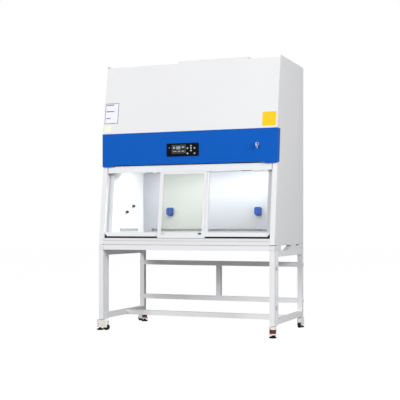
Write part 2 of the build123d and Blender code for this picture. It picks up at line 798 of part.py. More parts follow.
# dished work tray on side skirts that stand on the sump pan
skirt_x = wall_x - fit
with BuildPart() as work_tray:
    tray_y = (front + tray_front_in, wall_rear - fit)
    block((-skirt_x, skirt_x), tray_y, (tray_z - 2 * sheet, tray_z))
    block((-skirt_x + 30, skirt_x - 30), (tray_y[0] + 15, tray_y[1] - 30), (tray_z - sheet, tray_z),
          Mode.SUBTRACT)
    for side in (-1, 1):
        block(mirrored(side, skirt_x - sheet, skirt_x), (tray_y[0], tray_y[1] - 40), (pan_z, tray_z))
work_tray.part.label = "work_tray"
export_step(work_tray.part, "parts/work_tray.step")

with BuildPart() as intake_grille:
    grille_y = (front + grille_front_in, front + tray_front_in - fit)
    block((-skirt_x, skirt_x), grille_y, (tray_z - sheet, tray_z))
    for side in (-1, 1):
        block(mirrored(side, skirt_x - sheet, skirt_x), (front_base, grille_y[1]), (pan_z, tray_z))
    block((-skirt_x, skirt_x), (grille_y[0], grille_y[0] + sheet), (pan_z, tray_z))
    with Locations((0, (grille_y[0] + grille_y[1]) / 2, tray_z)):
        with GridLocations(slot_pitch, slot_pitch, slot_count + 4, 1):
            Box(slot_width, 54, 4 * sheet, mode=Mode.SUBTRACT)
intake_grille.part.label = "intake_grille"
export_step(intake_grille.part, "parts/intake_grille.step")

# perforated ceiling under the supply filter
with BuildPart() as diffuser_panel:
    ceiling_front = front_at + fit
    block((-inner + 50, inner - 50), (ceiling_front, wall_rear + sheet), (ceiling_z, ceiling_z + 2))
    with Locations((0, (front + plenum_front_in + wall_rear) / 2, ceiling_z)):
        with GridLocations(30, 100, 40, 4):
            Box(12, 80, 10, mode=Mode.SUBTRACT)
diffuser_panel.part.label = "diffuser_panel"
export_step(diffuser_panel.part, "parts/diffuser_panel.step")

# lamp: two holders under the ceiling with a tube between them
with BuildPart() as lamp_fitting:
    lamp_y = front + lamp_in
    lamp_z = ceiling_z - lamp_radius - 1
    for side in (-1, 1):
        block(mirrored(side, lamp_holder_x - 40, lamp_holder_x + 40), (lamp_y - 14, lamp_y + 14),
              (ceiling_z - 22, ceiling_z))
    rod_x(lamp_radius, (-lamp_holder_x + 40, lamp_holder_x - 40), lamp_y, lamp_z)
lamp_fitting.part.label = "lamp_fitting"
export_step(lamp_fitting.part, "parts/lamp_fitting.step")

# two splash-proof sockets on the back wall; each flip lid turns on a pin at the top
socket_y = (wall_rear - socket_depth, wall_rear)
hinge_z = socket_z + socket_height / 2 - hinge_radius - 3
hinge_y = socket_y[0] - hinge_radius - fit
with BuildPart() as socket_boxes:
    for side in (-1, 1):
        centre = side * socket_x
        block((centre - socket_width / 2, centre + socket_width / 2), socket_y,
              (socket_z - socket_height / 2, socket_z + socket_height / 2))
        upright = socket_boxes.edges().filter_by(Axis.Y).filter_by_position(
            Axis.X, centre - socket_width, centre + socket_width)
        chamfer(upright.group_by(Axis.Z)[0], lid_corner)
        chamfer(upright.group_by(Axis.Z)[-1], box_corner)
        rod_y(recess_radius, centre, (socket_y[0], socket_y[0] + 14), socket_z - recess_drop, Mode.SUBTRACT)
        for ear in (-1, 1):
            ear_end = socket_width / 2 - ear_inset
            ear_x = (centre + ear * (ear_end - socket_ear), centre + ear * ear_end)
            rod_x(hinge_radius, ear_x, hinge_y, hinge_z)
            block(ear_x, (hinge_y, socket_y[0]), (hinge_z - hinge_radius, hinge_z + hinge_radius))
        rod_x(hinge_pin_radius, (centre - ear_end, centre + ear_end), hinge_y, hinge_z)
socket_boxes.part.label = "socket_boxes"
export_step(socket_boxes.part, "parts/socket_boxes.step")

for side, name in ((-1, "left"), (1, "right")):
    centre = side * socket_x
    with BuildPart() as socket_lid:
        reach = socket_width / 2 - ear_inset - socket_ear - fit
        lid_y = (hinge_y - hinge_radius, hinge_y - hinge_radius + lid_thick - 2 * fit)
        block((centre - socket_width / 2, centre + socket_width / 2), lid_y,
              (hinge_z - lid_height, hinge_z - hinge_radius - fit))
        chamfer(socket_lid.edges().filter_by(Axis.Y).group_by(Axis.Z)[0], lid_corner)
        block((centre - reach, centre + reach), lid_y, (hinge_z - lid_height / 2, hinge_z))
        rod_x(hinge_radius, (centre - reach, centre + reach), hinge_y, hinge_z)
        block((centre - 10, centre + 10), (hinge_y - hinge_radius - 4, hinge_y - hinge_radius + 2),
              (hinge_z - lid_height, hinge_z - lid_height + 6))
        rod_x(hinge_pin_radius + running, (centre - half, centre + half), hinge_y, hinge_z, Mode.SUBTRACT)
    socket_lid.part.label = f"socket_lid_{name}"
    export_step(socket_lid.part, f"parts/socket_lid_{name}.step")

# service taps on the left wall: a fixed body with a spindle, and a turning knob
taps = {"front": (front + front_tap_in, front_tap_z), "rear": (front + rear_tap_in, rear_tap_z)}
tap_x = (-wall_x, -wall_x + tap_length)
with BuildPart() as gas_valve_bodies:
    for tap_y, tap_z in taps.values():
        rod_x(tap_radius + 5, (-wall_x, -wall_x + 4), tap_y, tap_z)
        rod_x(tap_radius, tap_x, tap_y, tap_z)
        rod_x(spindle_radius, (tap_x[1], tap_x[1] + knob_length - 2), tap_y, tap_z)
        rod_z(nozzle_radius, -wall_x + tap_length / 2, tap_y, (tap_z - 24, tap_z))
gas_valve_bodies.part.label = "gas_valve_bodies"
export_step(gas_valve_bodies.part, "parts/gas_valve_bodies.step")

for name, (tap_y, tap_z) in taps.items():
    with BuildPart() as valve_knob:
        with BuildSketch(Plane.YZ.offset(tap_x[1] + fit)):
            with Locations((tap_y, tap_z)):
                Circle(knob_radius)
                with PolarLocations(knob_radius + 2, 5):
                    Circle(5, mode=Mode.SUBTRACT)
        extrude(amount=knob_length)
        rod_x(spindle_radius + running, (tap_x[1], tap_x[1] + knob_length - 2 + fit), tap_y, tap_z,
              Mode.SUBTRACT)
    valve_knob.part.label = f"valve_knob_{name}"
    export_step(valve_knob.part, f"parts/valve_knob_{name}.step")

# ========================================================================= air system
plenum_y = (front + plenum_front_in, wall_rear + sheet)
filter_z = (ceiling_z + 2, ceiling_z + 2 + filter_height)
with BuildPart() as supply_filter:
    block((-plenum_half, plenum_half), plenum_y, filter_z)
    block((-plenum_half + 18, plenum_half - 18), (plenum_y[0] + 18, plenum_y[1] - 18), filter_z,
          Mode.SUBTRACT)
    block((-plenum_half + 18, plenum_half - 18), (plenum_y[0] + 18, plenum_y[1] - 18),
          (filter_z[0] + 15, filter_z[1] - 35))
supply_filter.part.label = "supply_filter"
export_step(supply_filter.part, "parts/supply_filter.step")

with BuildPart() as plenum_box:
    box_z = (filter_z[1], plenum_top_z)
    block((-plenum_half, plenum_half), plenum_y, box_z)
    block((-plenum_half + sheet, plenum_half - sheet), (plenum_y[0] + sheet, plenum_y[1] - sheet),
          (box_z[0], box_z[1] - sheet), Mode.SUBTRACT)
    block((collar_left_x + 20, collar_right_x - 20), (front + collar_front_in + 20, plenum_y[1] - 40),
          (box_z[1] - sheet, box_z[1]), Mode.SUBTRACT)
    rod_y(inlet_radius + 8, 0, (plenum_y[1] - sheet, plenum_y[1]), fan_z, Mode.SUBTRACT)
plenum_box.part.label = "plenum_box"
export_step(plenum_box.part, "parts/plenum_box.step")

# fan inlet: mounting plate, nozzle and a four-armed cage that carries the motor
inlet_face = plenum_y[1] - sheet
cage_y = inlet_face - 250
arm_radius = fan_radius + 25
with BuildPart() as blower_inlet_ring:
    rod_y(arm_radius + 10, 0, (inlet_face - 4, inlet_face), fan_z)
    rod_y(inlet_radius + 2, 0, (inlet_face - 40, inlet_face), fan_z)
    rod_y(inlet_radius, 0, (inlet_face - 41, inlet_face), fan_z, Mode.SUBTRACT)
    for x, z in ((arm_radius, 0), (-arm_radius, 0), (0, arm_radius), (0, -arm_radius)):
        rod_y(7, x, (cage_y, inlet_face), fan_z + z)
    for spread in ((arm_radius, 12), (12, arm_radius)):
        block((-spread[0], spread[0]), (cage_y, cage_y + 6), (fan_z - spread[1], fan_z + spread[1]))
    rod_y(62, 0, (cage_y, cage_y + 6), fan_z)
    rod_y(12, 0, (cage_y, cage_y + 6), fan_z, Mode.SUBTRACT)
blower_inlet_ring.part.label = "blower_inlet_ring"
export_step(blower_inlet_ring.part, "parts/blower_inlet_ring.step")

with BuildPart() as blower_motor:
    rod_y(60, 0, (cage_y - 70, cage_y), fan_z)
    rod_y(8 + running, 0, (cage_y - 60, cage_y), fan_z, Mode.SUBTRACT)
blower_motor.part.label = "blower_motor"
export_step(blower_motor.part, "parts/blower_motor.step")

# impeller: back plate, inlet shroud, seven leaning blades, hub and shaft
wheel_back = cage_y + 40
wheel_front = inlet_face - 45
with BuildPart() as blower_impeller:
    rod_y(fan_radius, 0, (wheel_back, wheel_back + 4), fan_z)
    rod_y(fan_radius, 0, (wheel_front - 3, wheel_front), fan_z)
    rod_y(inlet_radius + 6, 0, (wheel_front - 3, wheel_front), fan_z, Mode.SUBTRACT)
    rod_y(45, 0, (wheel_back, wheel_back + 30), fan_z)
    rod_y(8, 0, (cage_y - 58, wheel_back), fan_z)
    blade_y = (wheel_back + 4, wheel_front - 3)
    with BuildSketch(Plane.XZ.offset(-blade_y[1])):
        with Locations((0, fan_z)):
            with PolarLocations(fan_radius * 0.76, 7):
                Rectangle(80, 3, rotation=35)
    extrude(amount=blade_y[1] - blade_y[0])
blower_impeller.part.label = "blower_impeller"
export_step(blower_impeller.part, "parts/blower_impeller.step")

exhaust_x = (collar_left_x + 5, collar_right_x - 5)
exhaust_y = (front + collar_front_in + 5, front + collar_rear_in - 5)
with BuildPart() as exhaust_filter:
    block(exhaust_x, exhaust_y, (plenum_top_z, roof_z))
    block((exhaust_x[0] + 18, exhaust_x[1] - 18), (exhaust_y[0] + 18, exhaust_y[1] - 18),
          (plenum_top_z, roof_z), Mode.SUBTRACT)
    block((exhaust_x[0] + 18, exhaust_x[1] - 18), (exhaust_y[0] + 18, exhaust_y[1] - 18),
          (plenum_top_z + 15, roof_z - 20))
exhaust_filter.part.label = "exhaust_filter"
export_step(exhaust_filter.part, "parts/exhaust_filter.step")

# exhaust collar: a rectangular duct spigot with a flange on the roof
with BuildPart() as exhaust_collar:
    collar_x = (collar_left_x, collar_right_x)
    collar_y = (front + collar_front_in, front + collar_rear_in)
    block((collar_x[0] - 20, collar_x[1] + 20), (collar_y[0] - 20, collar_y[1] + 20),
          (roof_z + sheet, roof_z + 2 * sheet))
    block(collar_x, collar_y, (roof_z + sheet, collar_top_z))
    block((collar_x[0] + 2, collar_x[1] - 2), (collar_y[0] + 2, collar_y[1] - 2), (roof_z, collar_top_z),
          Mode.SUBTRACT)
exhaust_collar.part.label = "exhaust_collar"
export_step(exhaust_collar.part, "parts/exhaust_collar.step")

# mains inlet: a small box with a cord gland on the roof
with BuildPart() as mains_inlet:
    inlet_y = rear - inlet_in
    inlet_x = half - inlet_inset
    roof_top = roof_z + sheet
    block((inlet_x - inlet_half, inlet_x + inlet_half), (inlet_y - inlet_half, inlet_y + inlet_half),
          (roof_top, roof_top + inlet_height))
    fillet(mains_inlet.edges().filter_by(Axis.Z), 5)
    gland_end = inlet_y + inlet_half + gland_length
    rod_y(gland_radius, inlet_x, (inlet_y + inlet_half, gland_end), roof_top + gland_rise)
    rod_y(gland_bore, inlet_x, (gland_end - gland_depth, gland_end), roof_top + gland_rise, Mode.SUBTRACT)
mains_inlet.part.label = "mains_inlet"
export_step(mains_inlet.part, "parts/mains_inlet.step")

# ============================================================================== drain
drain_y = front + drain_in
valve_z = stand_top_z - 20
with BuildPart() as drain_valve:
    rod_z(drain_radius + 4, drain_x, drain_y, (leg_top_z + 4, stand_top_z))
    with Locations((drain_x, drain_y, valve_z)):
        Sphere(19)
    split(bisect_by=Plane.XY.offset(stand_top_z), keep=Keep.BOTTOM)
    rod_x(5, (drain_x - 32, drain_x), drain_y, valve_z)
    rod_z(drain_radius - 3, drain_x, drain_y, (leg_top_z, stand_top_z + 1), Mode.SUBTRACT)
drain_valve.part.label = "drain_valve"
export_step(drain_valve.part, "parts/drain_valve.step")

with BuildPart() as drain_lever:
    lever_x = (drain_x - 30, drain_x - 22)
    rod_x(9, lever_x, drain_y, valve_z)
    block(lever_x, (drain_y, drain_y + lever_length), (valve_z - 6, valve_z + 6))
    fillet(drain_lever.edges().filter_by(Axis.X).group_by(Axis.Y)[-1], 5)
    rod_x(5 + running, lever_x, drain_y, valve_z, Mode.SUBTRACT)
drain_lever.part.label = "drain_lever"
export_step(drain_lever.part, "parts/drain_lever.step")

# ================================================================== levelling casters
# Each caster is drawn about its own swivel axis with the wheel trailing along local +X.
for name, (spot_x, spot_y, heading) in caster_spots.items():
    turn = radians(heading)
    caster_plane = Plane(origin=(spot_x, spot_y, 0), x_dir=(cos(turn), sin(turn), 0), z_dir=(0, 0, 1))
    well_half = wheel_width / 2 + 1
    cheek_half = well_half + cheek_thick
    well_radius = wheel_radius + 3
    with BuildPart() as caster_housing:
        with BuildSketch(caster_plane.offset(window_bottom_z - 10)):
            with Locations((foot_x, 0)):
                Circle(foot_radius)
            with Locations(((foot_x + wheel_trail) / 2, 0)):
                Rectangle(wheel_trail - foot_x, 2 * cheek_half)
            with Locations((wheel_trail, 0)):
                Circle(cheek_half)
        extrude(amount=housing_top_z - window_bottom_z + 10)
        fillet(caster_housing.edges().group_by(Axis.Z)[-1], 4)
        with Locations(caster_plane):
            rod_y(well_radius, wheel_trail, (-well_half, well_half), axle_z, Mode.SUBTRACT)
            block((wheel_trail, wheel_trail + 60), (-well_half, well_half), (0, axle_z + 10), Mode.SUBTRACT)
            rod_z(thumb_radius + 3, foot_x, 0, (0, window_top_z), Mode.SUBTRACT)
            block((foot_x - foot_radius - 1, foot_x), (-foot_radius, foot_radius),
                  (window_bottom_z, window_top_z),
                  Mode.SUBTRACT)
            rod_z(race_radius, 0, 0, (housing_top_z - 1, leg_foot_z - end_plate - fit))
            rod_z(screw_radius + 2 * running, foot_x, 0, (window_top_z - 1, leg_foot_z), Mode.SUBTRACT)
            rod_z(kingpin_radius + running, 0, 0, (kingpin_z - fit, leg_foot_z), Mode.SUBTRACT)
            rod_y(axle_radius, wheel_trail, (-cheek_half + 1, cheek_half - 1), axle_z)
    caster_housing.part.label = f"caster_{name}_housing"
    export_step(caster_housing.part, f"parts/caster_{name}_housing.step")

    with BuildPart() as caster_wheel:
        with Locations(caster_plane):
            rod_y(wheel_radius, wheel_trail, (-wheel_width / 2, wheel_width / 2), axle_z)
        fillet(caster_wheel.edges().filter_by(GeomType.CIRCLE), 3)
        with Locations(caster_plane):
            rod_y(axle_radius + running, wheel_trail, (-wheel_width, wheel_width), axle_z, Mode.SUBTRACT)
    caster_wheel.part.label = f"caster_{name}_wheel"
    export_step(caster_wheel.part, f"parts/caster_{name}_wheel.step")

    foot_centre = caster_plane.from_local_coords((foot_x, 0, 0))
    with BuildPart() as caster_foot:
        with BuildSketch(Plane(origin=foot_centre, x_dir=(1, 0, 0), z_dir=(0, -1, 0))):
            with BuildLine():
                Polyline((0, 0), (foot_radius - 2, 0), (foot_radius, 2), (foot_radius, foot_height - 3),
                         (screw_radius + 3, foot_height + 3), (screw_radius, foot_height + 8),
                         (screw_radius, thumb_bottom_z), (thumb_radius - 1, thumb_bottom_z),
                         (thumb_radius, thumb_bottom_z + 1), (thumb_radius,
                                                              thumb_bottom_z + thumb_height - 1),
                         (thumb_radius - 1, thumb_bottom_z + thumb_height), (screw_radius,
                                                                             thumb_bottom_z + thumb_height),
                         (screw_radius, screw_top_z), (0, screw_top_z), close=True)
            make_face()
        revolve(axis=Axis(foot_centre, (0, 0, 1)))
    caster_foot.part.label = f"caster_{name}_foot"
    export_step(caster_foot.part, f"parts/caster_{name}_foot.step")
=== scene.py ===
# %% [markdown]
# # Dressing a biosafety cabinet
# The solids of the cabinet are already built to size. This file gives them their finishes,
# adds the small pieces that only the eye needs, and lights the whole thing in a plain studio.
# Everything is in metres: X runs to the right, Y to the back, Z up, and the floor is at zero.

# %% Load the built solids
import json
from math import cos, radians, sin
import bpy
import bmesh
from mathutils import Matrix, Vector


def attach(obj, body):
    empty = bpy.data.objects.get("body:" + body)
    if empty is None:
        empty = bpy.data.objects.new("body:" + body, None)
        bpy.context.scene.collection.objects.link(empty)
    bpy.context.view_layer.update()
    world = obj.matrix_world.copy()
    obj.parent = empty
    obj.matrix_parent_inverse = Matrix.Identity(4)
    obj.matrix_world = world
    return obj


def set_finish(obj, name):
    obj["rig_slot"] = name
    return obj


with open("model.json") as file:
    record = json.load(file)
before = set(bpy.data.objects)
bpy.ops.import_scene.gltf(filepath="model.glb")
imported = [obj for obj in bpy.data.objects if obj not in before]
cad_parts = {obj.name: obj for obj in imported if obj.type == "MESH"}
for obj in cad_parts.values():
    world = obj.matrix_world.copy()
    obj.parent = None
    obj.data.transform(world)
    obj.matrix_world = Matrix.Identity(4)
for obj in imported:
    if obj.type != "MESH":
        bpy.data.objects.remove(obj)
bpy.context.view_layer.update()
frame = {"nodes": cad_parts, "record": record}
nodes = frame["nodes"]
print("loaded", len(nodes), "solids")

# %% [markdown]
# ## The camera
# A cabinet this tall is looked at from about eye level of a seated person, a little from its
# right. The camera stays level, so uprights stay upright, and a small vertical shift raises the
# view instead of a tilt. Tilting would be simpler, but it makes the legs lean together.

# %% Camera
camera_at = (2.7858, -7.1003, 0.8461)
camera_heading = 21.582
lens_mm = 82.56
view_raise = 0.0673
sight_limit = 60
camera = bpy.data.objects.new("camera", bpy.data.cameras.new("camera"))
bpy.context.scene.collection.objects.link(camera)
camera.location = camera_at
camera.rotation_euler = (radians(90), 0, radians(camera_heading))
camera.data.sensor_width = 36
camera.data.lens = lens_mm
camera.data.shift_y = view_raise
camera.data.clip_end = sight_limit
bpy.context.scene.camera = camera
print("camera", tuple(round(v, 3) for v in camera.location))

# %% [markdown]
# ## The studio
# White goods need soft light with one side a little darker, or their edges vanish. A pale world
# fills the shadows, a large lamp on the left gives the front its brightness, and one on the
# right is weaker, so the side falls off. The world is at its full white only to the camera, where
# it is the backdrop. In reflections it is kept dim, or the panes would veil the chamber.

# %% World
fill_strength = 0.24
fill_colour = (0.96, 0.98, 1.0, 1)
backdrop_strength = 1.0
reflected_share = 0.3


def maths(nodes, operation, share=None):
    """A node that works on two values, the second of which may be fixed."""
    node = nodes.new("ShaderNodeMath")
    node.operation = operation
    if share is not None:
        node.inputs[1].default_value = share
    return node


world = bpy.data.worlds.new("studio")
bpy.context.scene.world = world
world.use_nodes = True
wn, wl = world.node_tree.nodes, world.node_tree.links
wn.clear()
path = wn.new("ShaderNodeLightPath")
seen = maths(wn, "MAXIMUM")
seen_all = maths(wn, "MAXIMUM")
wl.new(path.outputs["Is Camera Ray"], seen.inputs[0])
wl.new(path.outputs["Is Transmission Ray"], seen.inputs[1])
wl.new(seen.outputs[0], seen_all.inputs[0])
dimmed = maths(wn, "MULTIPLY", reflected_share)
wl.new(path.outputs["Is Glossy Ray"], dimmed.inputs[0])
wl.new(dimmed.outputs[0], seen_all.inputs[1])
fill = wn.new("ShaderNodeBackground")
fill.inputs["Color"].default_value = fill_colour
fill.inputs["Strength"].default_value = fill_strength
backdrop = wn.new("ShaderNodeBackground")
backdrop.inputs["Color"].default_value = (1, 1, 1, 1)
backdrop.inputs["Strength"].default_value = backdrop_strength
both = wn.new("ShaderNodeMixShader")
world_out = wn.new("ShaderNodeOutputWorld")
wl.new(seen_all.outputs[0], both.inputs["Fac"])
wl.new(fill.outputs[0], both.inputs[1])
wl.new(backdrop.outputs[0], both.inputs[2])
wl.new(both.outputs[0], world_out.inputs["Surface"])
bpy.context.scene.view_settings.view_transform = "Standard"
print("world", fill_strength, "and backdrop", backdrop_strength)


# %% [markdown]
# ## The lamps
# Two large lamps stand in the room, and a long narrow one in the chamber does the work of the
# tube. No lamp shows in reflections or through glass, because each would leave a bright patch on
# the leaning panes.


# %% Lamps
def soft_lamp(name, at, towards, size, power):
    """A square lamp of some width in metres and power in watts, aimed at a point."""
    lamp = bpy.data.objects.new(name, bpy.data.lights.new(name, "AREA"))
    lamp.data.shape = "RECTANGLE"
    lamp.data.size = lamp.data.size_y = size
    lamp.data.energy = power
    lamp.location = at
    lamp.rotation_euler = (Vector(towards) - Vector(at)).to_track_quat("-Z", "Y").to_euler()
    lamp.visible_glossy = lamp.visible_transmission = False
    bpy.context.scene.collection.objects.link(lamp)
    return lamp


cabinet_middle = (0, -0.2, 1.2)
tube_length = 1.2
soft_lamp("key_lamp", (-4.0, -9.4, 4.4), cabinet_middle, size=4.0, power=575)
soft_lamp("right_lamp", (7.6, -4.4, 4.2), cabinet_middle, size=3.6, power=500)
chamber_lamp = soft_lamp("chamber_lamp", (0, -0.04, 1.27), (-0.04, 0.10, 1.0), size=0.14, power=6.2)
chamber_lamp.data.size = tube_length
chamber_lamp.visible_camera = False

# %% [markdown]
# ## The floor
# A wide plain sheet under the casters. It is made almost white to the camera, so that the cabinet
# stands in a clear space, and keeps enough of its own shading for a soft shadow.

# %% Floor
floor_size = 60
floor_grey = (0.45, 0.45, 0.45, 1)
floor_white = 1.06
floor_share = 0.93
bpy.ops.object.select_all(action="DESELECT")
bpy.ops.mesh.primitive_plane_add(size=floor_size, location=(0, 0, 0))
floor = bpy.context.object
floor.name = "studio_floor"
floor_paint = bpy.data.materials.new("studio_floor")
floor_paint.use_nodes = True
fn, fl = floor_paint.node_tree.nodes, floor_paint.node_tree.links
fn.clear()
floor_matt = fn.new("ShaderNodeBsdfDiffuse")
floor_matt.inputs["Color"].default_value = floor_grey
floor_glow = fn.new("ShaderNodeEmission")
floor_glow.inputs["Strength"].default_value = floor_white
floor_path = fn.new("ShaderNodeLightPath")
floor_seen = maths(fn, "MULTIPLY", floor_share)
floor_mix = fn.new("ShaderNodeMixShader")
floor_out = fn.new("ShaderNodeOutputMaterial")
floor_any = maths(fn, "MAXIMUM")
fl.new(floor_path.outputs["Is Camera Ray"], floor_any.inputs[0])
fl.new(floor_path.outputs["Is Transmission Ray"], floor_any.inputs[1])
fl.new(floor_any.outputs[0], floor_seen.inputs[0])
fl.new(floor_seen.outputs[0], floor_mix.inputs["Fac"])
fl.new(floor_matt.outputs[0], floor_mix.inputs[1])
fl.new(floor_glow.outputs[0], floor_mix.inputs[2])
fl.new(floor_mix.outputs[0], floor_out.inputs["Surface"])
floor.data.materials.append(floor_paint)
print("floor", floor.name)

# %% [markdown]
# ## Shared effects
# Three effects turn up again and again on sheet metal goods: the fine orange peel of powder coat,
# the straight lines of brushed steel, and paint or oxide that is a touch different on worn edges.
# Each is made once as a group of shader nodes and then placed in the materials with its own values.


# %% Helpers for node groups
def new_group(name, inputs, outputs):
    group = bpy.data.node_groups.new(name, "ShaderNodeTree")
    for label, kind, value in inputs:
        socket = group.interface.new_socket(label, in_out="INPUT", socket_type=kind)
        socket.default_value = value
    for label, kind in outputs:
        group.interface.new_socket(label, in_out="OUTPUT", socket_type=kind)
    start = group.nodes.new("NodeGroupInput")
    end = group.nodes.new("NodeGroupOutput")
    return group, start, end


def noise(tree, scale, detail=3.0, roughness=0.5):
    node = tree.nodes.new("ShaderNodeTexNoise")
    node.inputs["Scale"].default_value = scale
    node.inputs["Detail"].default_value = detail
    node.inputs["Roughness"].default_value = roughness
    return node


def spread(tree, source, low, high, to_low=0.0, to_high=1.0):
    node = tree.nodes.new("ShaderNodeMapRange")
    node.inputs["From Min"].default_value = low
    node.inputs["From Max"].default_value = high
    node.inputs["To Min"].default_value = to_low
    node.inputs["To Max"].default_value = to_high
    tree.links.new(source, node.inputs["Value"])
    return node.outputs["Result"]


# %% Orange peel: fine bumps, and slow changes of tone
peel, peel_in, peel_out = new_group(
    "orange_peel",
    [
        ("Vector", "NodeSocketVector", (0, 0, 0)),
        ("Grain", "NodeSocketFloat", 420.0),
        ("Patch", "NodeSocketFloat", 1.6),
    ],
    [("Height", "NodeSocketFloat"), ("Tone", "NodeSocketFloat"), ("Haze", "NodeSocketFloat")],
)
peel_fine = noise(peel, 420, 2.0)
peel_slow = noise(peel, 1.6, 3.0)
peel_mid = noise(peel, 24, 4.0)
for texture, size in ((peel_fine, "Grain"), (peel_slow, "Patch")):
    peel.links.new(peel_in.outputs["Vector"], texture.inputs["Vector"])
    peel.links.new(peel_in.outputs[size], texture.inputs["Scale"])
peel.links.new(peel_in.outputs["Vector"], peel_mid.inputs["Vector"])
peel.links.new(peel_fine.outputs["Fac"], peel_out.inputs["Height"])
peel.links.new(spread(peel, peel_slow.outputs["Fac"], 0.3, 0.7), peel_out.inputs["Tone"])
peel.links.new(spread(peel, peel_mid.outputs["Fac"], 0.3, 0.7), peel_out.inputs["Haze"])

# %% Brushed lines: noise stretched along one axis
brush, brush_in, brush_out = new_group(
    "brushed_lines",
    [("Vector", "NodeSocketVector", (0, 0, 0)), ("Stretch", "NodeSocketVector", (3, 3, 500))],
    [("Height", "NodeSocketFloat"), ("Streak", "NodeSocketFloat"), ("Cloud", "NodeSocketFloat")],
)
brush_scale = brush.nodes.new("ShaderNodeVectorMath")
brush_scale.operation = "MULTIPLY"
brush.links.new(brush_in.outputs["Vector"], brush_scale.inputs[0])
brush.links.new(brush_in.outputs["Stretch"], brush_scale.inputs[1])
brush_fine = noise(brush, 1.0, 4.0, 0.65)
brush.links.new(brush_scale.outputs[0], brush_fine.inputs["Vector"])
brush_cloud = noise(brush, 3.0, 3.0)
brush.links.new(brush_in.outputs["Vector"], brush_cloud.inputs["Vector"])
brush.links.new(brush_fine.outputs["Fac"], brush_out.inputs["Height"])
brush.links.new(spread(brush, brush_fine.outputs["Fac"], 0.25, 0.75), brush_out.inputs["Streak"])
brush.links.new(spread(brush, brush_cloud.outputs["Fac"], 0.3, 0.7), brush_out.inputs["Cloud"])

# %% Worn edges: where a rounded normal leaves the flat one, broken up by noise
worn, worn_in, worn_out = new_group(
    "worn_edges",
    [
        ("Vector", "NodeSocketVector", (0, 0, 0)),
        ("Width", "NodeSocketFloat", 0.002),
        ("Breakup", "NodeSocketFloat", 60.0),
    ],
    [("Mask", "NodeSocketFloat"), ("Normal", "NodeSocketVector")],
)
round_off = worn.nodes.new("ShaderNodeBevel")
round_off.samples = 4
worn.links.new(worn_in.outputs["Width"], round_off.inputs["Radius"])
flat_way = worn.nodes.new("ShaderNodeNewGeometry")
same_way = worn.nodes.new("ShaderNodeVectorMath")
same_way.operation = "DOT_PRODUCT"
worn.links.new(round_off.outputs["Normal"], same_way.inputs[0])
worn.links.new(flat_way.outputs["Normal"], same_way.inputs[1])
edge_amount = spread(worn, same_way.outputs["Value"], 0.995, 0.85)
edge_noise = noise(worn, 60, 3.0)
worn.links.new(worn_in.outputs["Vector"], edge_noise.inputs["Vector"])
worn.links.new(worn_in.outputs["Breakup"], edge_noise.inputs["Scale"])
edge_break = maths(worn.nodes, "MULTIPLY")
worn.links.new(edge_amount, edge_break.inputs[0])
worn.links.new(spread(worn, edge_noise.outputs["Fac"], 0.35, 0.65), edge_break.inputs[1])
worn.links.new(edge_break.outputs[0], worn_out.inputs["Mask"])
worn.links.new(round_off.outputs["Normal"], worn_out.inputs["Normal"])
print("groups", [g.name for g in bpy.data.node_groups])


# %% [markdown]
# ## Painted, moulded and metal finishes
# Every finish starts from the same small recipe. Object coordinates feed the shared groups, one
# group's tone moves the colour between two close shades, and its haze moves the gloss. A maker
# could paint each part by hand, but shades that change slowly by themselves look less painted on.


# %% The common start of a material
def start_material(name):
    material = bpy.data.materials.new(name)
    material.use_nodes = True
    tree = material.node_tree
    shader = tree.nodes["Principled BSDF"]
    place = tree.nodes.new("ShaderNodeTexCoord")
    return material, tree, shader, place.outputs["Object"]


def put_group(tree, group, vector, **values):
    node = tree.nodes.new("ShaderNodeGroup")
    node.node_tree = group
    tree.links.new(vector, node.inputs["Vector"])
    for label, value in values.items():
        node.inputs[label].default_value = value
    return node


def two_shades(tree, mask, first, second):
    node = tree.nodes.new("ShaderNodeMix")
    node.data_type = "RGBA"
    node.inputs["A"].default_value = (*first, 1)
    node.inputs["B"].default_value = (*second, 1)
    tree.links.new(mask, node.inputs["Factor"])
    return node


def bump_from(tree, shader, height, distance, normal=None):
    node = tree.nodes.new("ShaderNodeBump")
    node.inputs["Distance"].default_value = distance
    node.inputs["Strength"].default_value = 1.0
    tree.links.new(height, node.inputs["Height"])
    if normal is not None:
        tree.links.new(normal, node.inputs["Normal"])
    tree.links.new(node.outputs["Normal"], shader.inputs["Normal"])


def rgb(red, green, blue):
    """The linear colour of an everyday 0 to 255 colour."""
    shares = [v / 255 for v in (red, green, blue)]
    return tuple(v / 12.92 if v <= 0.04 else ((v + 0.055) / 1.055) ** 2.4 for v in shares)


def shade(colour, by):
    return tuple(min(1.0, v * by) for v in colour)


def lay_colour(tree, shader, mask, colour, variation, edges, edge_tone):
    """The colour wanders a little with the mask, and its worn edges have a tone of their own."""
    base = two_shades(tree, mask, shade(colour, 1 - variation / 2), shade(colour, 1 + variation / 2))
    lit = two_shades(tree, edges.outputs["Mask"], colour, shade(colour, edge_tone))
    tree.links.new(base.outputs["Result"], lit.inputs["A"])
    tree.links.new(lit.outputs["Result"], shader.inputs["Base Color"])


def lay_gloss(tree, shader, mask, lowest, highest):
    """The roughness moves with the mask between two values."""
    tree.links.new(spread(tree, mask, 0, 1, lowest, highest), shader.inputs["Roughness"])


# %% Coated metal and plastic
def coated(name, colour, gloss=0.38, grain=420.0, depth=0.00006, edge_tone=1.12, variation=0.05, shine=0.5):
    edge_width = 0.0012
    material, tree, shader, place = start_material(name)
    skin = put_group(tree, peel, place, Grain=grain)
    edges = put_group(tree, worn, place, Width=edge_width)
    lay_colour(tree, shader, skin.outputs["Tone"], colour, variation, edges, edge_tone)
    lay_gloss(tree, shader, skin.outputs["Haze"], gloss - 0.05, gloss + 0.06)
    shader.inputs["Specular IOR Level"].default_value = shine
    bump_from(tree, shader, skin.outputs["Height"], depth, normal=edges.outputs["Normal"])
    return material


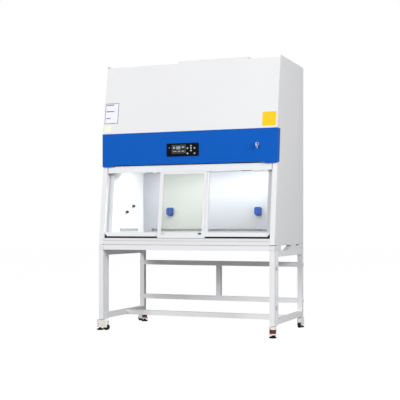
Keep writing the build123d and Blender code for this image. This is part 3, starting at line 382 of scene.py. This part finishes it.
# %% Brushed and cast metal
def brushed(name, colour, stretch, gloss=0.3, depth=0.00003, variation=0.12, metal=1.0):
    edge_width = 0.001
    edge_tone = 1.2
    material, tree, shader, place = start_material(name)
    lines = put_group(tree, brush, place, Stretch=stretch)
    edges = put_group(tree, worn, place, Width=edge_width)
    lay_colour(tree, shader, lines.outputs["Streak"], colour, variation, edges, edge_tone)
    shader.inputs["Metallic"].default_value = metal
    lay_gloss(tree, shader, lines.outputs["Cloud"], gloss - 0.05, gloss + 0.08)
    bump_from(tree, shader, lines.outputs["Height"], depth, normal=edges.outputs["Normal"])
    return material


# %% Glass: a tinted pane that lets the studio's light through to what is behind it
def pane_glass(name, tint):
    material, tree, shader, place = start_material(name)
    skin = put_group(tree, peel, place, Grain=90.0)
    shader.inputs["Transmission Weight"].default_value = 1.0
    shader.inputs["IOR"].default_value = 1.45
    base = two_shades(tree, skin.outputs["Tone"], tint, shade(tint, 0.985))
    tree.links.new(base.outputs["Result"], shader.inputs["Base Color"])
    lay_gloss(tree, shader, skin.outputs["Haze"], 0.0, 0.03)
    rays = tree.nodes.new("ShaderNodeLightPath")
    either = maths(tree.nodes, "MAXIMUM")
    tree.links.new(rays.outputs["Is Shadow Ray"], either.inputs[0])
    tree.links.new(rays.outputs["Is Diffuse Ray"], either.inputs[1])
    clear = tree.nodes.new("ShaderNodeBsdfTransparent")
    clear.inputs["Color"].default_value = (*tint, 1)
    mix = tree.nodes.new("ShaderNodeMixShader")
    tree.links.new(either.outputs[0], mix.inputs["Fac"])
    tree.links.new(shader.outputs[0], mix.inputs[1])
    tree.links.new(clear.outputs[0], mix.inputs[2])
    tree.links.new(mix.outputs[0], tree.nodes["Material Output"].inputs["Surface"])
    return material


# %% [markdown]
# ## The finishes of this cabinet
# The shell and the stand are both powder coated, the stand a shade lighter. The fascia is a smooth blue.
# The liner's back is brushed stainless steel, with its lines running level, and its grey is darkened below
# the steel's as painted shade. Its sides are coated in a near-white brighter than the liner's paint, which
# is painted light standing in for the light that falls on them. Moulded parts get a finer skin than paint.

# %% Make the finishes
finish = {
    "cabinet_paint": coated(
        "cabinet_paint", rgb(236, 236, 237), gloss=0.42, variation=0.02, edge_tone=1.03),
    "stand_paint": coated("stand_paint", rgb(240, 240, 242), gloss=0.45, variation=0.02, edge_tone=1.02),
    "blue_paint": coated(
        "blue_paint", rgb(22, 94, 190), gloss=0.34, depth=0.00001, variation=0.03, edge_tone=1.1,
        shine=0.04),
    "black_plastic": coated(
        "black_plastic", rgb(14, 14, 17), gloss=0.5, grain=900, variation=0.2, edge_tone=1.8, shine=0.15),
    "screen_glass": coated(
        "screen_glass", rgb(40, 44, 48), gloss=0.15, grain=700, depth=0.00001, variation=0.3),
    "guide_metal": coated("guide_metal", rgb(240, 240, 243), gloss=0.4, variation=0.04),
    "black_rubber": coated(
        "black_rubber", rgb(28, 28, 28), gloss=0.7, grain=600, variation=0.2, edge_tone=1.6),
    "motor_metal": brushed("motor_metal", rgb(150, 152, 156), (40, 40, 40), gloss=0.5, depth=0.0002),
    "stainless": brushed("stainless", rgb(206, 209, 214), (2.5, 2.5, 420), gloss=0.38),
    "liner_paint": coated("liner_paint", rgb(240, 240, 240), gloss=0.4, variation=0.02),
    "lamp_white": coated("lamp_white", rgb(244, 244, 240), gloss=0.3, grain=500, depth=0.00001),
    "socket_blue": coated(
        "socket_blue", rgb(26, 66, 150), gloss=0.35, grain=800, edge_tone=1.2, shine=0.15),
    "chromed_brass": brushed("chromed_brass", rgb(200, 200, 200), (60, 60, 60), gloss=0.2),
    "filter_media": coated(
        "filter_media", rgb(240, 240, 232), gloss=0.8, grain=240, depth=0.0004, variation=0.06),
    "galvanised": brushed("galvanised", rgb(168, 172, 178), (30, 30, 30), gloss=0.42, variation=0.25),
    "white_plastic": coated("white_plastic", rgb(226, 226, 222), gloss=0.45, grain=900, variation=0.04),
    "zinc_screws": brushed("zinc_screws", rgb(190, 192, 196), (80, 80, 80), gloss=0.3),
    "sash_metal": coated(
        "sash_metal", rgb(237, 238, 241), gloss=0.36, grain=500, variation=0.03, edge_tone=1.05),
    "sash_glass": pane_glass("sash_glass", (0.985, 0.992, 0.99)),
    "ivory_plastic": coated("ivory_plastic", rgb(240, 238, 230), gloss=0.45, grain=800, variation=0.06),
    "black_nylon": coated(
        "black_nylon", rgb(26, 26, 27), gloss=0.5, grain=700, variation=0.25, edge_tone=1.7),
}
print("finishes", len(finish))

# %% Give every solid its finish
slot_of = {s["node"]: s["material_slot"] for s in frame["record"]["subparts"]}
for name, solid in nodes.items():
    solid.data.materials.clear()
    solid.data.materials.append(finish[slot_of[name]])
door_glass = pane_glass("door_glass", (0.945, 0.955, 0.83))
# The back wall's grey is darkened below the stainless steel's as painted shade. The sides' near-white,
# brighter than the liner's paint, is painted light for the light that falls on them.
liner_steel_painted_shade = brushed(
    "liner_steel_painted_shade", rgb(188, 192, 199), (2.5, 2.5, 420), gloss=0.42, variation=0.05, metal=0.3)
liner_side = coated("liner_side", rgb(253, 254, 255), gloss=0.4, variation=0.01, edge_tone=1.0)
own_finish = {"door_pane": door_glass, "liner_back_wall": liner_steel_painted_shade, "liner_side_walls": liner_side}
for name, material in own_finish.items():
    nodes[name].data.materials[0] = material
print("dressed", len(slot_of), "solids")

# %% [markdown]
# ## Finishes that change along one solid
# A levelling foot is three things on one screw: a rubber pad, a steel thread and a red wheel for
# the thumb. The solid stays as it is, and each of its faces takes the finish of the height it
# sits at. The same is done for the jambs and their bars, the ends of the lamp, and the wells that
# the sockets' lids close.


# %% Faces by their place
def face_finish(node, material, chosen):
    """Gives one more finish to the faces of a solid whose middle passes the test."""
    mesh = nodes[node].data
    mesh.materials.append(material)
    index = len(mesh.materials) - 1
    count = 0
    for face in mesh.polygons:
        if chosen(face.center, face.normal):
            face.material_index = index
            count += 1
    return count


red_plastic = coated("red_plastic", rgb(186, 40, 36), gloss=0.4, grain=700, edge_tone=1.3, variation=0.12)
thread_steel = brushed("thread_steel", rgb(176, 178, 180), (10, 10, 1100), gloss=0.3, depth=0.0004)
corners = ("front_left", "front_right", "rear_left", "rear_right")
thumb_low, thumb_high = 0.0425, 0.0555
pad_top = 0.0205
for corner in corners:
    foot = f"caster_{corner}_foot"
    steel = face_finish(foot, thread_steel, lambda c, n: c.z > pad_top)
    red = face_finish(foot, red_plastic, lambda c, n: thumb_low < c.z < thumb_high)
    print(foot, "steel faces", steel, "red faces", red)

jamb_inside = 0.6668
bar_outside = 0.6648
holder_start = 0.3835
socket_middle = 0.403
well_radius = 0.0205
well_front, well_back = 0.2395, 0.2535


def in_socket_well(c, n):
    """True for the faces of the round hole under a socket's lid."""
    return well_front < c.y < well_back and abs(abs(c.x) - socket_middle) < well_radius


# The jambs' grey, darker than the liner's near-white on the same solid, is painted shade for the shade that
# falls on them beside the posts.
jamb_painted_shade = coated("jamb_painted_shade", rgb(222, 222, 225), gloss=0.42, variation=0.03, edge_tone=1.05)
print("jamb faces", face_finish("liner_side_walls", jamb_painted_shade, lambda c, n: abs(c.x) > jamb_inside))
bar_grey = coated("bar_grey", rgb(186, 190, 192), gloss=0.45, variation=0.05, edge_tone=1.1)
print("bar faces", face_finish("liner_side_walls", bar_grey, lambda c, n: abs(c.x) < bar_outside))
holder_grey = coated("holder_grey", rgb(120, 122, 126), gloss=0.5, grain=700, variation=0.1)
print("lamp holders", face_finish("lamp_fitting", holder_grey, lambda c, n: abs(c.x) > holder_start))
# The wells under the sockets' lids take a dark navy, a darker copy of the sockets' blue: painted shade in
# the recess.
socket_well_painted_shade = coated("socket_well_painted_shade", rgb(30, 36, 60), gloss=0.5, grain=900, variation=0.1)
print("socket wells", face_finish("socket_boxes", socket_well_painted_shade, in_socket_well))

# %% [markdown]
# ## Modelling small pieces by hand
# The pieces below start from a primitive at their own place and are shaped in edit mode. The
# helpers select by place, because clicking isn't possible in a script. Each piece ends with its
# normals recalculated and its object at the origin, as the built solids have it.


# %% Helpers for modelling
def start_piece(name):
    """Names the new primitive and opens it for editing with nothing selected."""
    piece = bpy.context.object
    piece.name = name
    piece.data.name = name
    bpy.ops.object.mode_set(mode="EDIT")
    bpy.ops.mesh.select_mode(type="FACE")
    bpy.ops.mesh.select_all(action="DESELECT")
    return piece


def pick_faces(piece, test):
    """Selects the faces whose middle, in the room, and normal, in the piece's own axes, pass."""
    bpy.ops.mesh.select_mode(type="FACE")
    mesh = bmesh.from_edit_mesh(piece.data)
    for face in mesh.faces:
        face.select_set(test(piece.matrix_world @ face.calc_center_median(), face.normal))
    mesh.select_flush_mode()
    bmesh.update_edit_mesh(piece.data)


def pick_edges(piece, test):
    """Selects the edges whose two ends, in the room, pass the test."""
    bpy.ops.mesh.select_mode(type="EDGE")
    mesh = bmesh.from_edit_mesh(piece.data)
    for edge in mesh.edges:
        ends = [piece.matrix_world @ v.co for v in edge.verts]
        edge.select_set(test(*ends))
    mesh.select_flush_mode()
    bmesh.update_edit_mesh(piece.data)


def finish_piece(piece, material, body, slot, smooth=None):
    """Closes the edit, puts the place into the mesh, dresses the piece and lets it ride."""
    bpy.ops.mesh.select_all(action="SELECT")
    bpy.ops.mesh.normals_make_consistent(inside=False)
    bpy.ops.object.mode_set(mode="OBJECT")
    bpy.ops.object.select_all(action="DESELECT")
    piece.select_set(True)
    bpy.context.view_layer.objects.active = piece
    bpy.ops.object.transform_apply(location=True, rotation=True, scale=True)
    if smooth is not None:
        bpy.ops.object.shade_smooth_by_angle(angle=radians(smooth))
    piece.data.materials.clear()
    piece.data.materials.append(material)
    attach(piece, body)
    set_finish(piece, slot)
    print(piece.name, len(piece.data.polygons), "faces")
    return piece


def lean_piece(piece, foot, lean):
    """Tips a piece back about X and sets it on its foot, then opens it again."""
    bpy.ops.object.mode_set(mode="OBJECT")
    piece.data.transform(Matrix.Translation(foot) @ Matrix.Rotation(-lean, 4, "X") @ piece.matrix_world)
    piece.matrix_world = Matrix.Identity(4)
    bpy.ops.object.mode_set(mode="EDIT")
    return piece


def faces_front(centre, normal):
    return normal.y < -0.9


def new_box(name, low, high):
    """A box between two corners, opened for editing."""
    bpy.ops.object.select_all(action="DESELECT")
    middle = [(a + b) / 2 for a, b in zip(low, high)]
    bpy.ops.mesh.primitive_cube_add(size=1, location=middle, scale=[b - a for a, b in zip(low, high)])
    bpy.ops.object.transform_apply(location=False, rotation=False, scale=True)
    return start_piece(name)


def copy_piece(piece, name, move, body):
    """A copy with its own mesh, moved to its own place and body."""
    twin = piece.copy()
    twin.data = piece.data.copy()
    twin.name = name
    twin.data.name = name
    bpy.context.scene.collection.objects.link(twin)
    twin.parent = None
    twin.matrix_world = Matrix.Identity(4)
    twin.data.transform(Matrix.Translation(move))
    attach(twin, body)
    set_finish(twin, piece["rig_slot"])
    return twin


# %% [markdown]
# ## Cards and tags on the upper front
# A clear pocket with a record card hangs at the left of the upper front, with a small pale tag
# under it, and a yellow square sits at the right. The tag and the square stay blank, and the card
# has only three rules. They are thin sheets laid on the leaning front, because paint on the panel
# itself would show no edge.

# %% Where the upper front leans
upper_lean = radians(9.1)
upper_foot = Vector((0, -0.343, 1.610))


def on_upper_front(name, x, z, thick):
    """A sheet on the upper front between two widths and two heights, opened for editing."""
    low = (z[0] - upper_foot.z) / cos(upper_lean)
    high = (z[1] - upper_foot.z) / cos(upper_lean)
    return lean_piece(new_box(name, (x[0], -thick, low), (x[1], 0, high)), upper_foot, upper_lean)


# %% The card, the tag and the yellow square
def paper(name, colour, gloss):
    fibre_grain = 900.0
    fibre_depth = 0.00002
    material, tree, shader, place = start_material(name)
    skin = put_group(tree, peel, place, Grain=fibre_grain)
    base = two_shades(tree, skin.outputs["Tone"], shade(colour, 0.985), shade(colour, 1.01))
    tree.links.new(base.outputs["Result"], shader.inputs["Base Color"])
    lay_gloss(tree, shader, skin.outputs["Haze"], gloss - 0.06, gloss + 0.06)
    bump_from(tree, shader, skin.outputs["Height"], fibre_depth)
    return material


card_white = paper("card_white", rgb(244, 243, 250), gloss=0.25)
card_rule = paper("card_rule", rgb(112, 104, 168), gloss=0.4)
tag_cream = paper("tag_cream", rgb(250, 248, 226), gloss=0.4)
sign_yellow = paper("sign_yellow", rgb(250, 208, 34), gloss=0.35)

card_x = (-0.741, -0.620)
card_z = (1.697, 1.867)
card_border = 0.004
card_inner = 0.0045
card = on_upper_front("record_card", card_x, card_z, 0.0012)
pick_faces(card, faces_front)
bpy.ops.mesh.inset(thickness=card_border, depth=0)
bpy.ops.mesh.inset(thickness=0.0006, depth=-0.0006)
finish_piece(card, card_white, "cabinet", "white_plastic")
card.data.materials.append(card_rule)
rim = 0
for face in card.data.polygons:
    across = card_x[0] + card_border < face.center.x < card_x[1] - card_border
    up = card_z[0] + card_inner < face.center.z < card_z[1] - card_inner
    if not (across and up):
        face.material_index = 1
        rim += 1
print("card rim faces", rim)

rule_start = -0.731
rule_half = 0.0035
for row, (height, reach) in enumerate(((1.853, 0.066), (1.800, 0.070), (1.742, 0.040))):
    rule_z = (height - rule_half, height + rule_half)
    rule = on_upper_front(f"card_line_{row}", (rule_start, rule_start + reach), rule_z, 0.0016)
    pick_edges(rule, lambda a, b: abs((a - b).z) > 0.004)
    bpy.ops.mesh.bevel(offset=0.0004, segments=1)
    finish_piece(rule, card_rule, "cabinet", "white_plastic")


def through_sheet(a, b):
    """True for the short edges that run through a sheet at its corners."""
    return abs((a - b).x) < 1e-5 and abs((a - b).z) < 0.003


tag = on_upper_front("pale_tag", (-0.738, -0.677), (1.628, 1.681), 0.0008)
pick_edges(tag, through_sheet)
bpy.ops.mesh.bevel(offset=0.003, segments=3)
finish_piece(tag, tag_cream, "cabinet", "white_plastic")

sign = on_upper_front("yellow_square", (0.627, 0.738), (1.626, 1.737), 0.0010)
pick_edges(sign, through_sheet)
bpy.ops.mesh.bevel(offset=0.006, segments=4)
finish_piece(sign, sign_yellow, "cabinet", "white_plastic")

# %% [markdown]
# ## The seal and the pulls of the sash
# A black rubber lip runs under the sash's bottom rail, and a three-sided piece fills each cut
# corner of the frame. A profile could be swept along the rail, but the lip is straight, so a box
# is enough once its underside is hollowed. The door has two small pulls at its foot.

# %% Where the sash leans
sash_lean = radians(7.2)
sash_foot = Vector((0, -0.4104, 0.735))


def on_sash(name, x, s, n):
    """A box given across, up the sash's slope and out of it, opened for editing."""
    return lean_piece(new_box(name, (x[0], -n[1], s[0]), (x[1], -n[0], s[1])), sash_foot, sash_lean)


gasket_rubber = coated(
    "gasket_rubber", rgb(40, 41, 43), gloss=0.6, grain=700, edge_tone=1.5, variation=0.15)

# %% The rubber lip under the sash
seal_half = 0.7035
lip_top = 0.0372
lip = on_sash("sash_seal", (-seal_half, seal_half), (0.0242, lip_top), (-0.0215, -0.0136))
pick_faces(lip, lambda c, n: n.z < -0.9)
bpy.ops.mesh.inset(thickness=0.0012, depth=0)
bpy.ops.mesh.inset(thickness=0.0008, depth=-0.0015)
pick_edges(lip, lambda a, b: abs((a - b).x) > 1.3 and max(a.y, b.y) < -0.39 and min(a.z, b.z) < 0.759)
bpy.ops.mesh.bevel(offset=0.001, segments=2)
finish_piece(lip, gasket_rubber, "sash", "black_rubber", smooth=30)

corner_start = 0.6845
corner_cut = 0.0186
for side, side_name in ((-1, "left"), (1, "right")):
    inner = side * corner_start
    x = sorted((inner, side * seal_half))
    corner = on_sash(f"seal_corner_{side_name}", x, (lip_top, 0.0565), (-0.0320, -0.0150))
    pick_edges(corner, lambda a, b: max(abs(a.x - inner), abs(b.x - inner)) < 1e-4 and min(a.z, b.z) > 0.78)
    bpy.ops.mesh.bevel(offset=corner_cut, segments=1)
    finish_piece(corner, gasket_rubber, "sash", "black_rubber")

# %% Finger pulls on the sliding door
pull_half = 0.0125
pull_dark = coated("pull_dark", rgb(70, 74, 70), gloss=0.5, grain=800, variation=0.15)
pull_pale = coated("pull_pale", rgb(214, 214, 204), gloss=0.4, grain=800, variation=0.06)
for name, middle, material in (("pull_right", 0.132, pull_dark), ("pull_left", -0.186, pull_pale)):
    pull = on_sash(name, (middle - pull_half, middle + pull_half), (0.0515, 0.0645), (-0.0039, -0.0017))
    pick_faces(pull, faces_front)
    bpy.ops.mesh.inset(thickness=0.0025, depth=0)
    bpy.ops.mesh.inset(thickness=0.0015, depth=-0.0012)
    finish_piece(pull, material, "sliding_door", "black_plastic")

# %% [markdown]
# ## The display's face
# The control panel shows a dim screen with a pale frame and a few bars, and round touch keys to its right.
# The bars stand for readings without spelling any. They are a hair proud of the screen and glow a little,
# which a plain painted stripe wouldn't do. The lamp's tube glows too. The touch keys glow faintly as well,
# a painted glow, as no lamp lights them.

# %% Glowing bars on the screen
def glowing(name, colour, strength):
    material, tree, shader, place = start_material(name)
    skin = put_group(tree, peel, place, Grain=1500.0)
    base = two_shades(tree, skin.outputs["Haze"], shade(colour, 0.8), colour)
    tree.links.new(base.outputs["Result"], shader.inputs["Base Color"])
    tree.links.new(base.outputs["Result"], shader.inputs["Emission Color"])
    shader.inputs["Emission Strength"].default_value = strength
    lay_gloss(tree, shader, skin.outputs["Tone"], 0.3, 0.4)
    return material


screen_glow = glowing("screen_glow", rgb(150, 158, 164), 0.15)
screen_y = -0.3508
bar_front = screen_y - 0.0004
bar_back = screen_y + 0.0002
screen_bars = [
    ((-0.125, -0.009), (1.4985, 1.4995)),
    ((-0.125, -0.009), (1.4355, 1.4365)),
    ((-0.125, -0.124), (1.4355, 1.4995)),
    ((-0.010, -0.009), (1.4355, 1.4995)),
    ((-0.116, -0.098), (1.470, 1.488)),
    ((-0.088, -0.052), (1.466, 1.490)),
    ((-0.042, -0.018), (1.476, 1.488)),
    ((-0.116, -0.086), (1.446, 1.454)),
    ((-0.076, -0.052), (1.446, 1.454)),
    ((-0.042, -0.018), (1.446, 1.454)),
]
for number, (x, z) in enumerate(screen_bars):
    bar = new_box(f"screen_bar_{number}", (x[0], bar_front, z[0]), (x[1], bar_back, z[1]))
    thin_line = x[1] - x[0] <= 0.01 or z[1] - z[0] <= 0.005
    if not thin_line:
        pick_faces(bar, faces_front)
        bpy.ops.mesh.inset(thickness=0.0012, depth=0)
        bpy.ops.mesh.inset(thickness=0.0004, depth=-0.0002)
    finish_piece(bar, screen_glow, "cabinet", "screen_glass")

nodes["lamp_fitting"].data.materials[0] = glowing("tube_glow", rgb(250, 250, 244), 2.0)
# The round touch keys glow faintly though no lamp is in them: a painted glow that brightens their grey.
key_face = -0.35115
touch_keys_painted_glow = glowing("touch_keys_painted_glow", rgb(176, 180, 186), 0.1)
print("keys", face_finish("display_bezel", touch_keys_painted_glow, lambda c, n: c.y < key_face and faces_front(c, n)))

# %% [markdown]
# ## The key in the fascia
# The key that wakes the panel is nickel plated, and a split ring through the hole in its bow
# carries a spare. The ring starts as a torus, and a groove round its rim parts it into the two
# coils that a real one is wound from. The spare's plate is cut through where the ring passes, so
# the two hang together without touching.

# %% The bow, the split ring and the spare key
bow_front = -0.3565
nickel = brushed("nickel", rgb(240, 240, 243), (60, 60, 60), gloss=0.35, variation=0.06, metal=0.25)
print("bow faces", face_finish("panel_key", nickel, lambda c, n: c.y < bow_front))

ring_middle = Vector((0.600, -0.3733, 1.486))
ring_radius = 0.011
wire_radius = 0.0011
groove_depth = 0.0004
outer_band = ring_radius + 0.0008


def on_rim(point):
    return abs(point.y - ring_middle.y) < 1e-5 and (point - ring_middle).length > outer_band


bpy.ops.object.select_all(action="DESELECT")
bpy.ops.mesh.primitive_torus_add(
    major_radius=ring_radius, minor_radius=wire_radius, major_segments=48, minor_segments=12,
    location=ring_middle, rotation=(radians(90), 0, 0))
ring = start_piece("key_ring")
pick_edges(ring, lambda a, b: on_rim(a) and on_rim(b))
bpy.ops.mesh.bevel(offset=0.00025, segments=1)
pick_faces(ring, lambda c, n: on_rim(c))
bpy.ops.mesh.inset(thickness=0.00002, depth=-groove_depth)
finish_piece(ring, nickel, "key", "zinc_screws", smooth=40)

spare_x = (0.5971, 0.5989)
spare_y = (-0.3825, -0.3641)
spare_z = (1.4655, 1.4795)
neck_drop = 0.002
shank_drop = 0.0125
shank_share = 0.45
spare = new_box("spare_key", (spare_x[0], spare_y[0], spare_z[0]), (spare_x[1], spare_y[1], spare_z[1]))
pick_edges(spare, lambda a, b: abs((a - b).x) > 0.001 and min(a.z, b.z) > spare_z[1] - 0.0005)
bpy.ops.mesh.bevel(offset=0.003, segments=3)
pick_faces(spare, lambda c, n: n.z < -0.9)
bpy.ops.mesh.extrude_region_move(TRANSFORM_OT_translate={"value": (0, 0, -neck_drop)})
bpy.ops.transform.resize(
    value=(1, shank_share, 1), center_override=(0.598, ring_middle.y, spare_z[0] - neck_drop))
bpy.ops.mesh.extrude_region_move(TRANSFORM_OT_translate={"value": (0, 0, -shank_drop)})
pick_faces(spare, lambda c, n: abs(n.x) > 0.9 and c.z > spare_z[0] + 0.0005)
bpy.ops.mesh.inset(thickness=0.0035, depth=0)
bpy.ops.mesh.bridge_edge_loops()
finish_piece(spare, nickel, "key", "zinc_screws")

# %% [markdown]
# ## Screws in the rear panel
# Ten pan head screws hold the rear panel on. A short cylinder gets a rounded rim. Its recess is
# misplaced: the test reads the normal before the screw is turned, so the recess falls on the side
# and not on the head. It also leaves the screw's faces pointing inwards. One is modelled, and the
# others are copies with their own mesh.

# %% One panel screw and its nine copies
rear_face = 0.415
screw_x = 0.72
screw_low = 0.736
screw_pitch = 0.3485
screw_radius = 0.006
screw_height = 0.0025
screw_spots = [(side * screw_x, screw_low + row * screw_pitch) for side in (-1, 1) for row in range(5)]
x, z = screw_spots[0]
bpy.ops.object.select_all(action="DESELECT")
bpy.ops.mesh.primitive_cylinder_add(
    vertices=30, radius=screw_radius, depth=screw_height,
    location=(x, rear_face + screw_height / 2, z), rotation=(radians(90), 0, 0))
screw = start_piece("rear_screw_0")
pick_edges(screw, lambda a, b: min(a.y, b.y) > rear_face + screw_height - 0.0001)
bpy.ops.mesh.bevel(offset=0.001, segments=3)
pick_faces(screw, lambda c, n: n.y > 0.99)
bpy.ops.mesh.inset(thickness=0.0026, depth=0)
bpy.ops.mesh.inset(thickness=0.0003, depth=-0.0013)
finish_piece(screw, finish["zinc_screws"], "cabinet", "zinc_screws", smooth=35)
for number, (other_x, other_z) in enumerate(screw_spots[1:], 1):
    copy_piece(screw, f"rear_screw_{number}", (other_x - x, 0, other_z - z), "cabinet")
print("rear screws", len(screw_spots))

# %% [markdown]
# ## Thumbwheels
# The wheel that levels each foot is knurled so that it can be turned by hand. A cylinder gets
# its grip by pushing every second side face in, the way a milling cutter would leave it, and its
# rims are bevelled. The recalculated normals of this piece still point inwards. One is modelled,
# and the others are copies.

# %% One thumbwheel and its three copies
spots = {
    "front_left": (-0.730, -0.385, -8),
    "front_right": (0.730, -0.385, 100),
    "rear_left": (-0.730, 0.395, 150),
    "rear_right": (0.730, 0.395, -85),
}
foot_reach = 0.024
thumb_radius = 0.0222


def foot_middle(corner):
    """Where the foot stands, behind the caster's pivot in its heading."""
    x, y, heading = spots[corner]
    return Vector((x - foot_reach * cos(radians(heading)), y - foot_reach * sin(radians(heading)), 0))


def on_thumb_rim(a, b):
    """True for the outer edges of the wheel's top and bottom."""
    level = abs(a.z - b.z) < 1e-5
    at_end = min(abs(a.z - thumb_low), abs(a.z - thumb_high)) < 1e-5
    return level and at_end and (a.xy - first.xy).length > 0.0215


first = foot_middle("front_left")
bpy.ops.object.select_all(action="DESELECT")
bpy.ops.mesh.primitive_cylinder_add(
    vertices=48, radius=thumb_radius, depth=thumb_high - thumb_low,
    location=(first.x, first.y, (thumb_low + thumb_high) / 2))
thumb = start_piece("caster_front_left_thumbwheel")
pick_faces(thumb, lambda c, n: abs(n.z) > 0.9)
bpy.ops.mesh.inset(thickness=0.003, depth=0)
bpy.ops.mesh.inset(thickness=0.006, depth=-0.0012)
mesh = bmesh.from_edit_mesh(thumb.data)
sides = sorted(face.index for face in mesh.faces if abs(face.normal.z) < 0.1)
grip = set(sides[::2])
for face in mesh.faces:
    face.select_set(face.index in grip)
bmesh.update_edit_mesh(thumb.data)
bpy.ops.mesh.inset(thickness=0.0006, depth=-0.0008, use_individual=True)
pick_edges(thumb, on_thumb_rim)
bpy.ops.mesh.bevel(offset=0.0006, segments=2)
finish_piece(thumb, red_plastic, "caster_front_left_leveller", "black_rubber", smooth=30)
for corner in corners[1:]:
    move = foot_middle(corner) - first
    copy_piece(thumb, f"caster_{corner}_thumbwheel", move, f"caster_{corner}_leveller")
print("thumbwheels", len(corners))
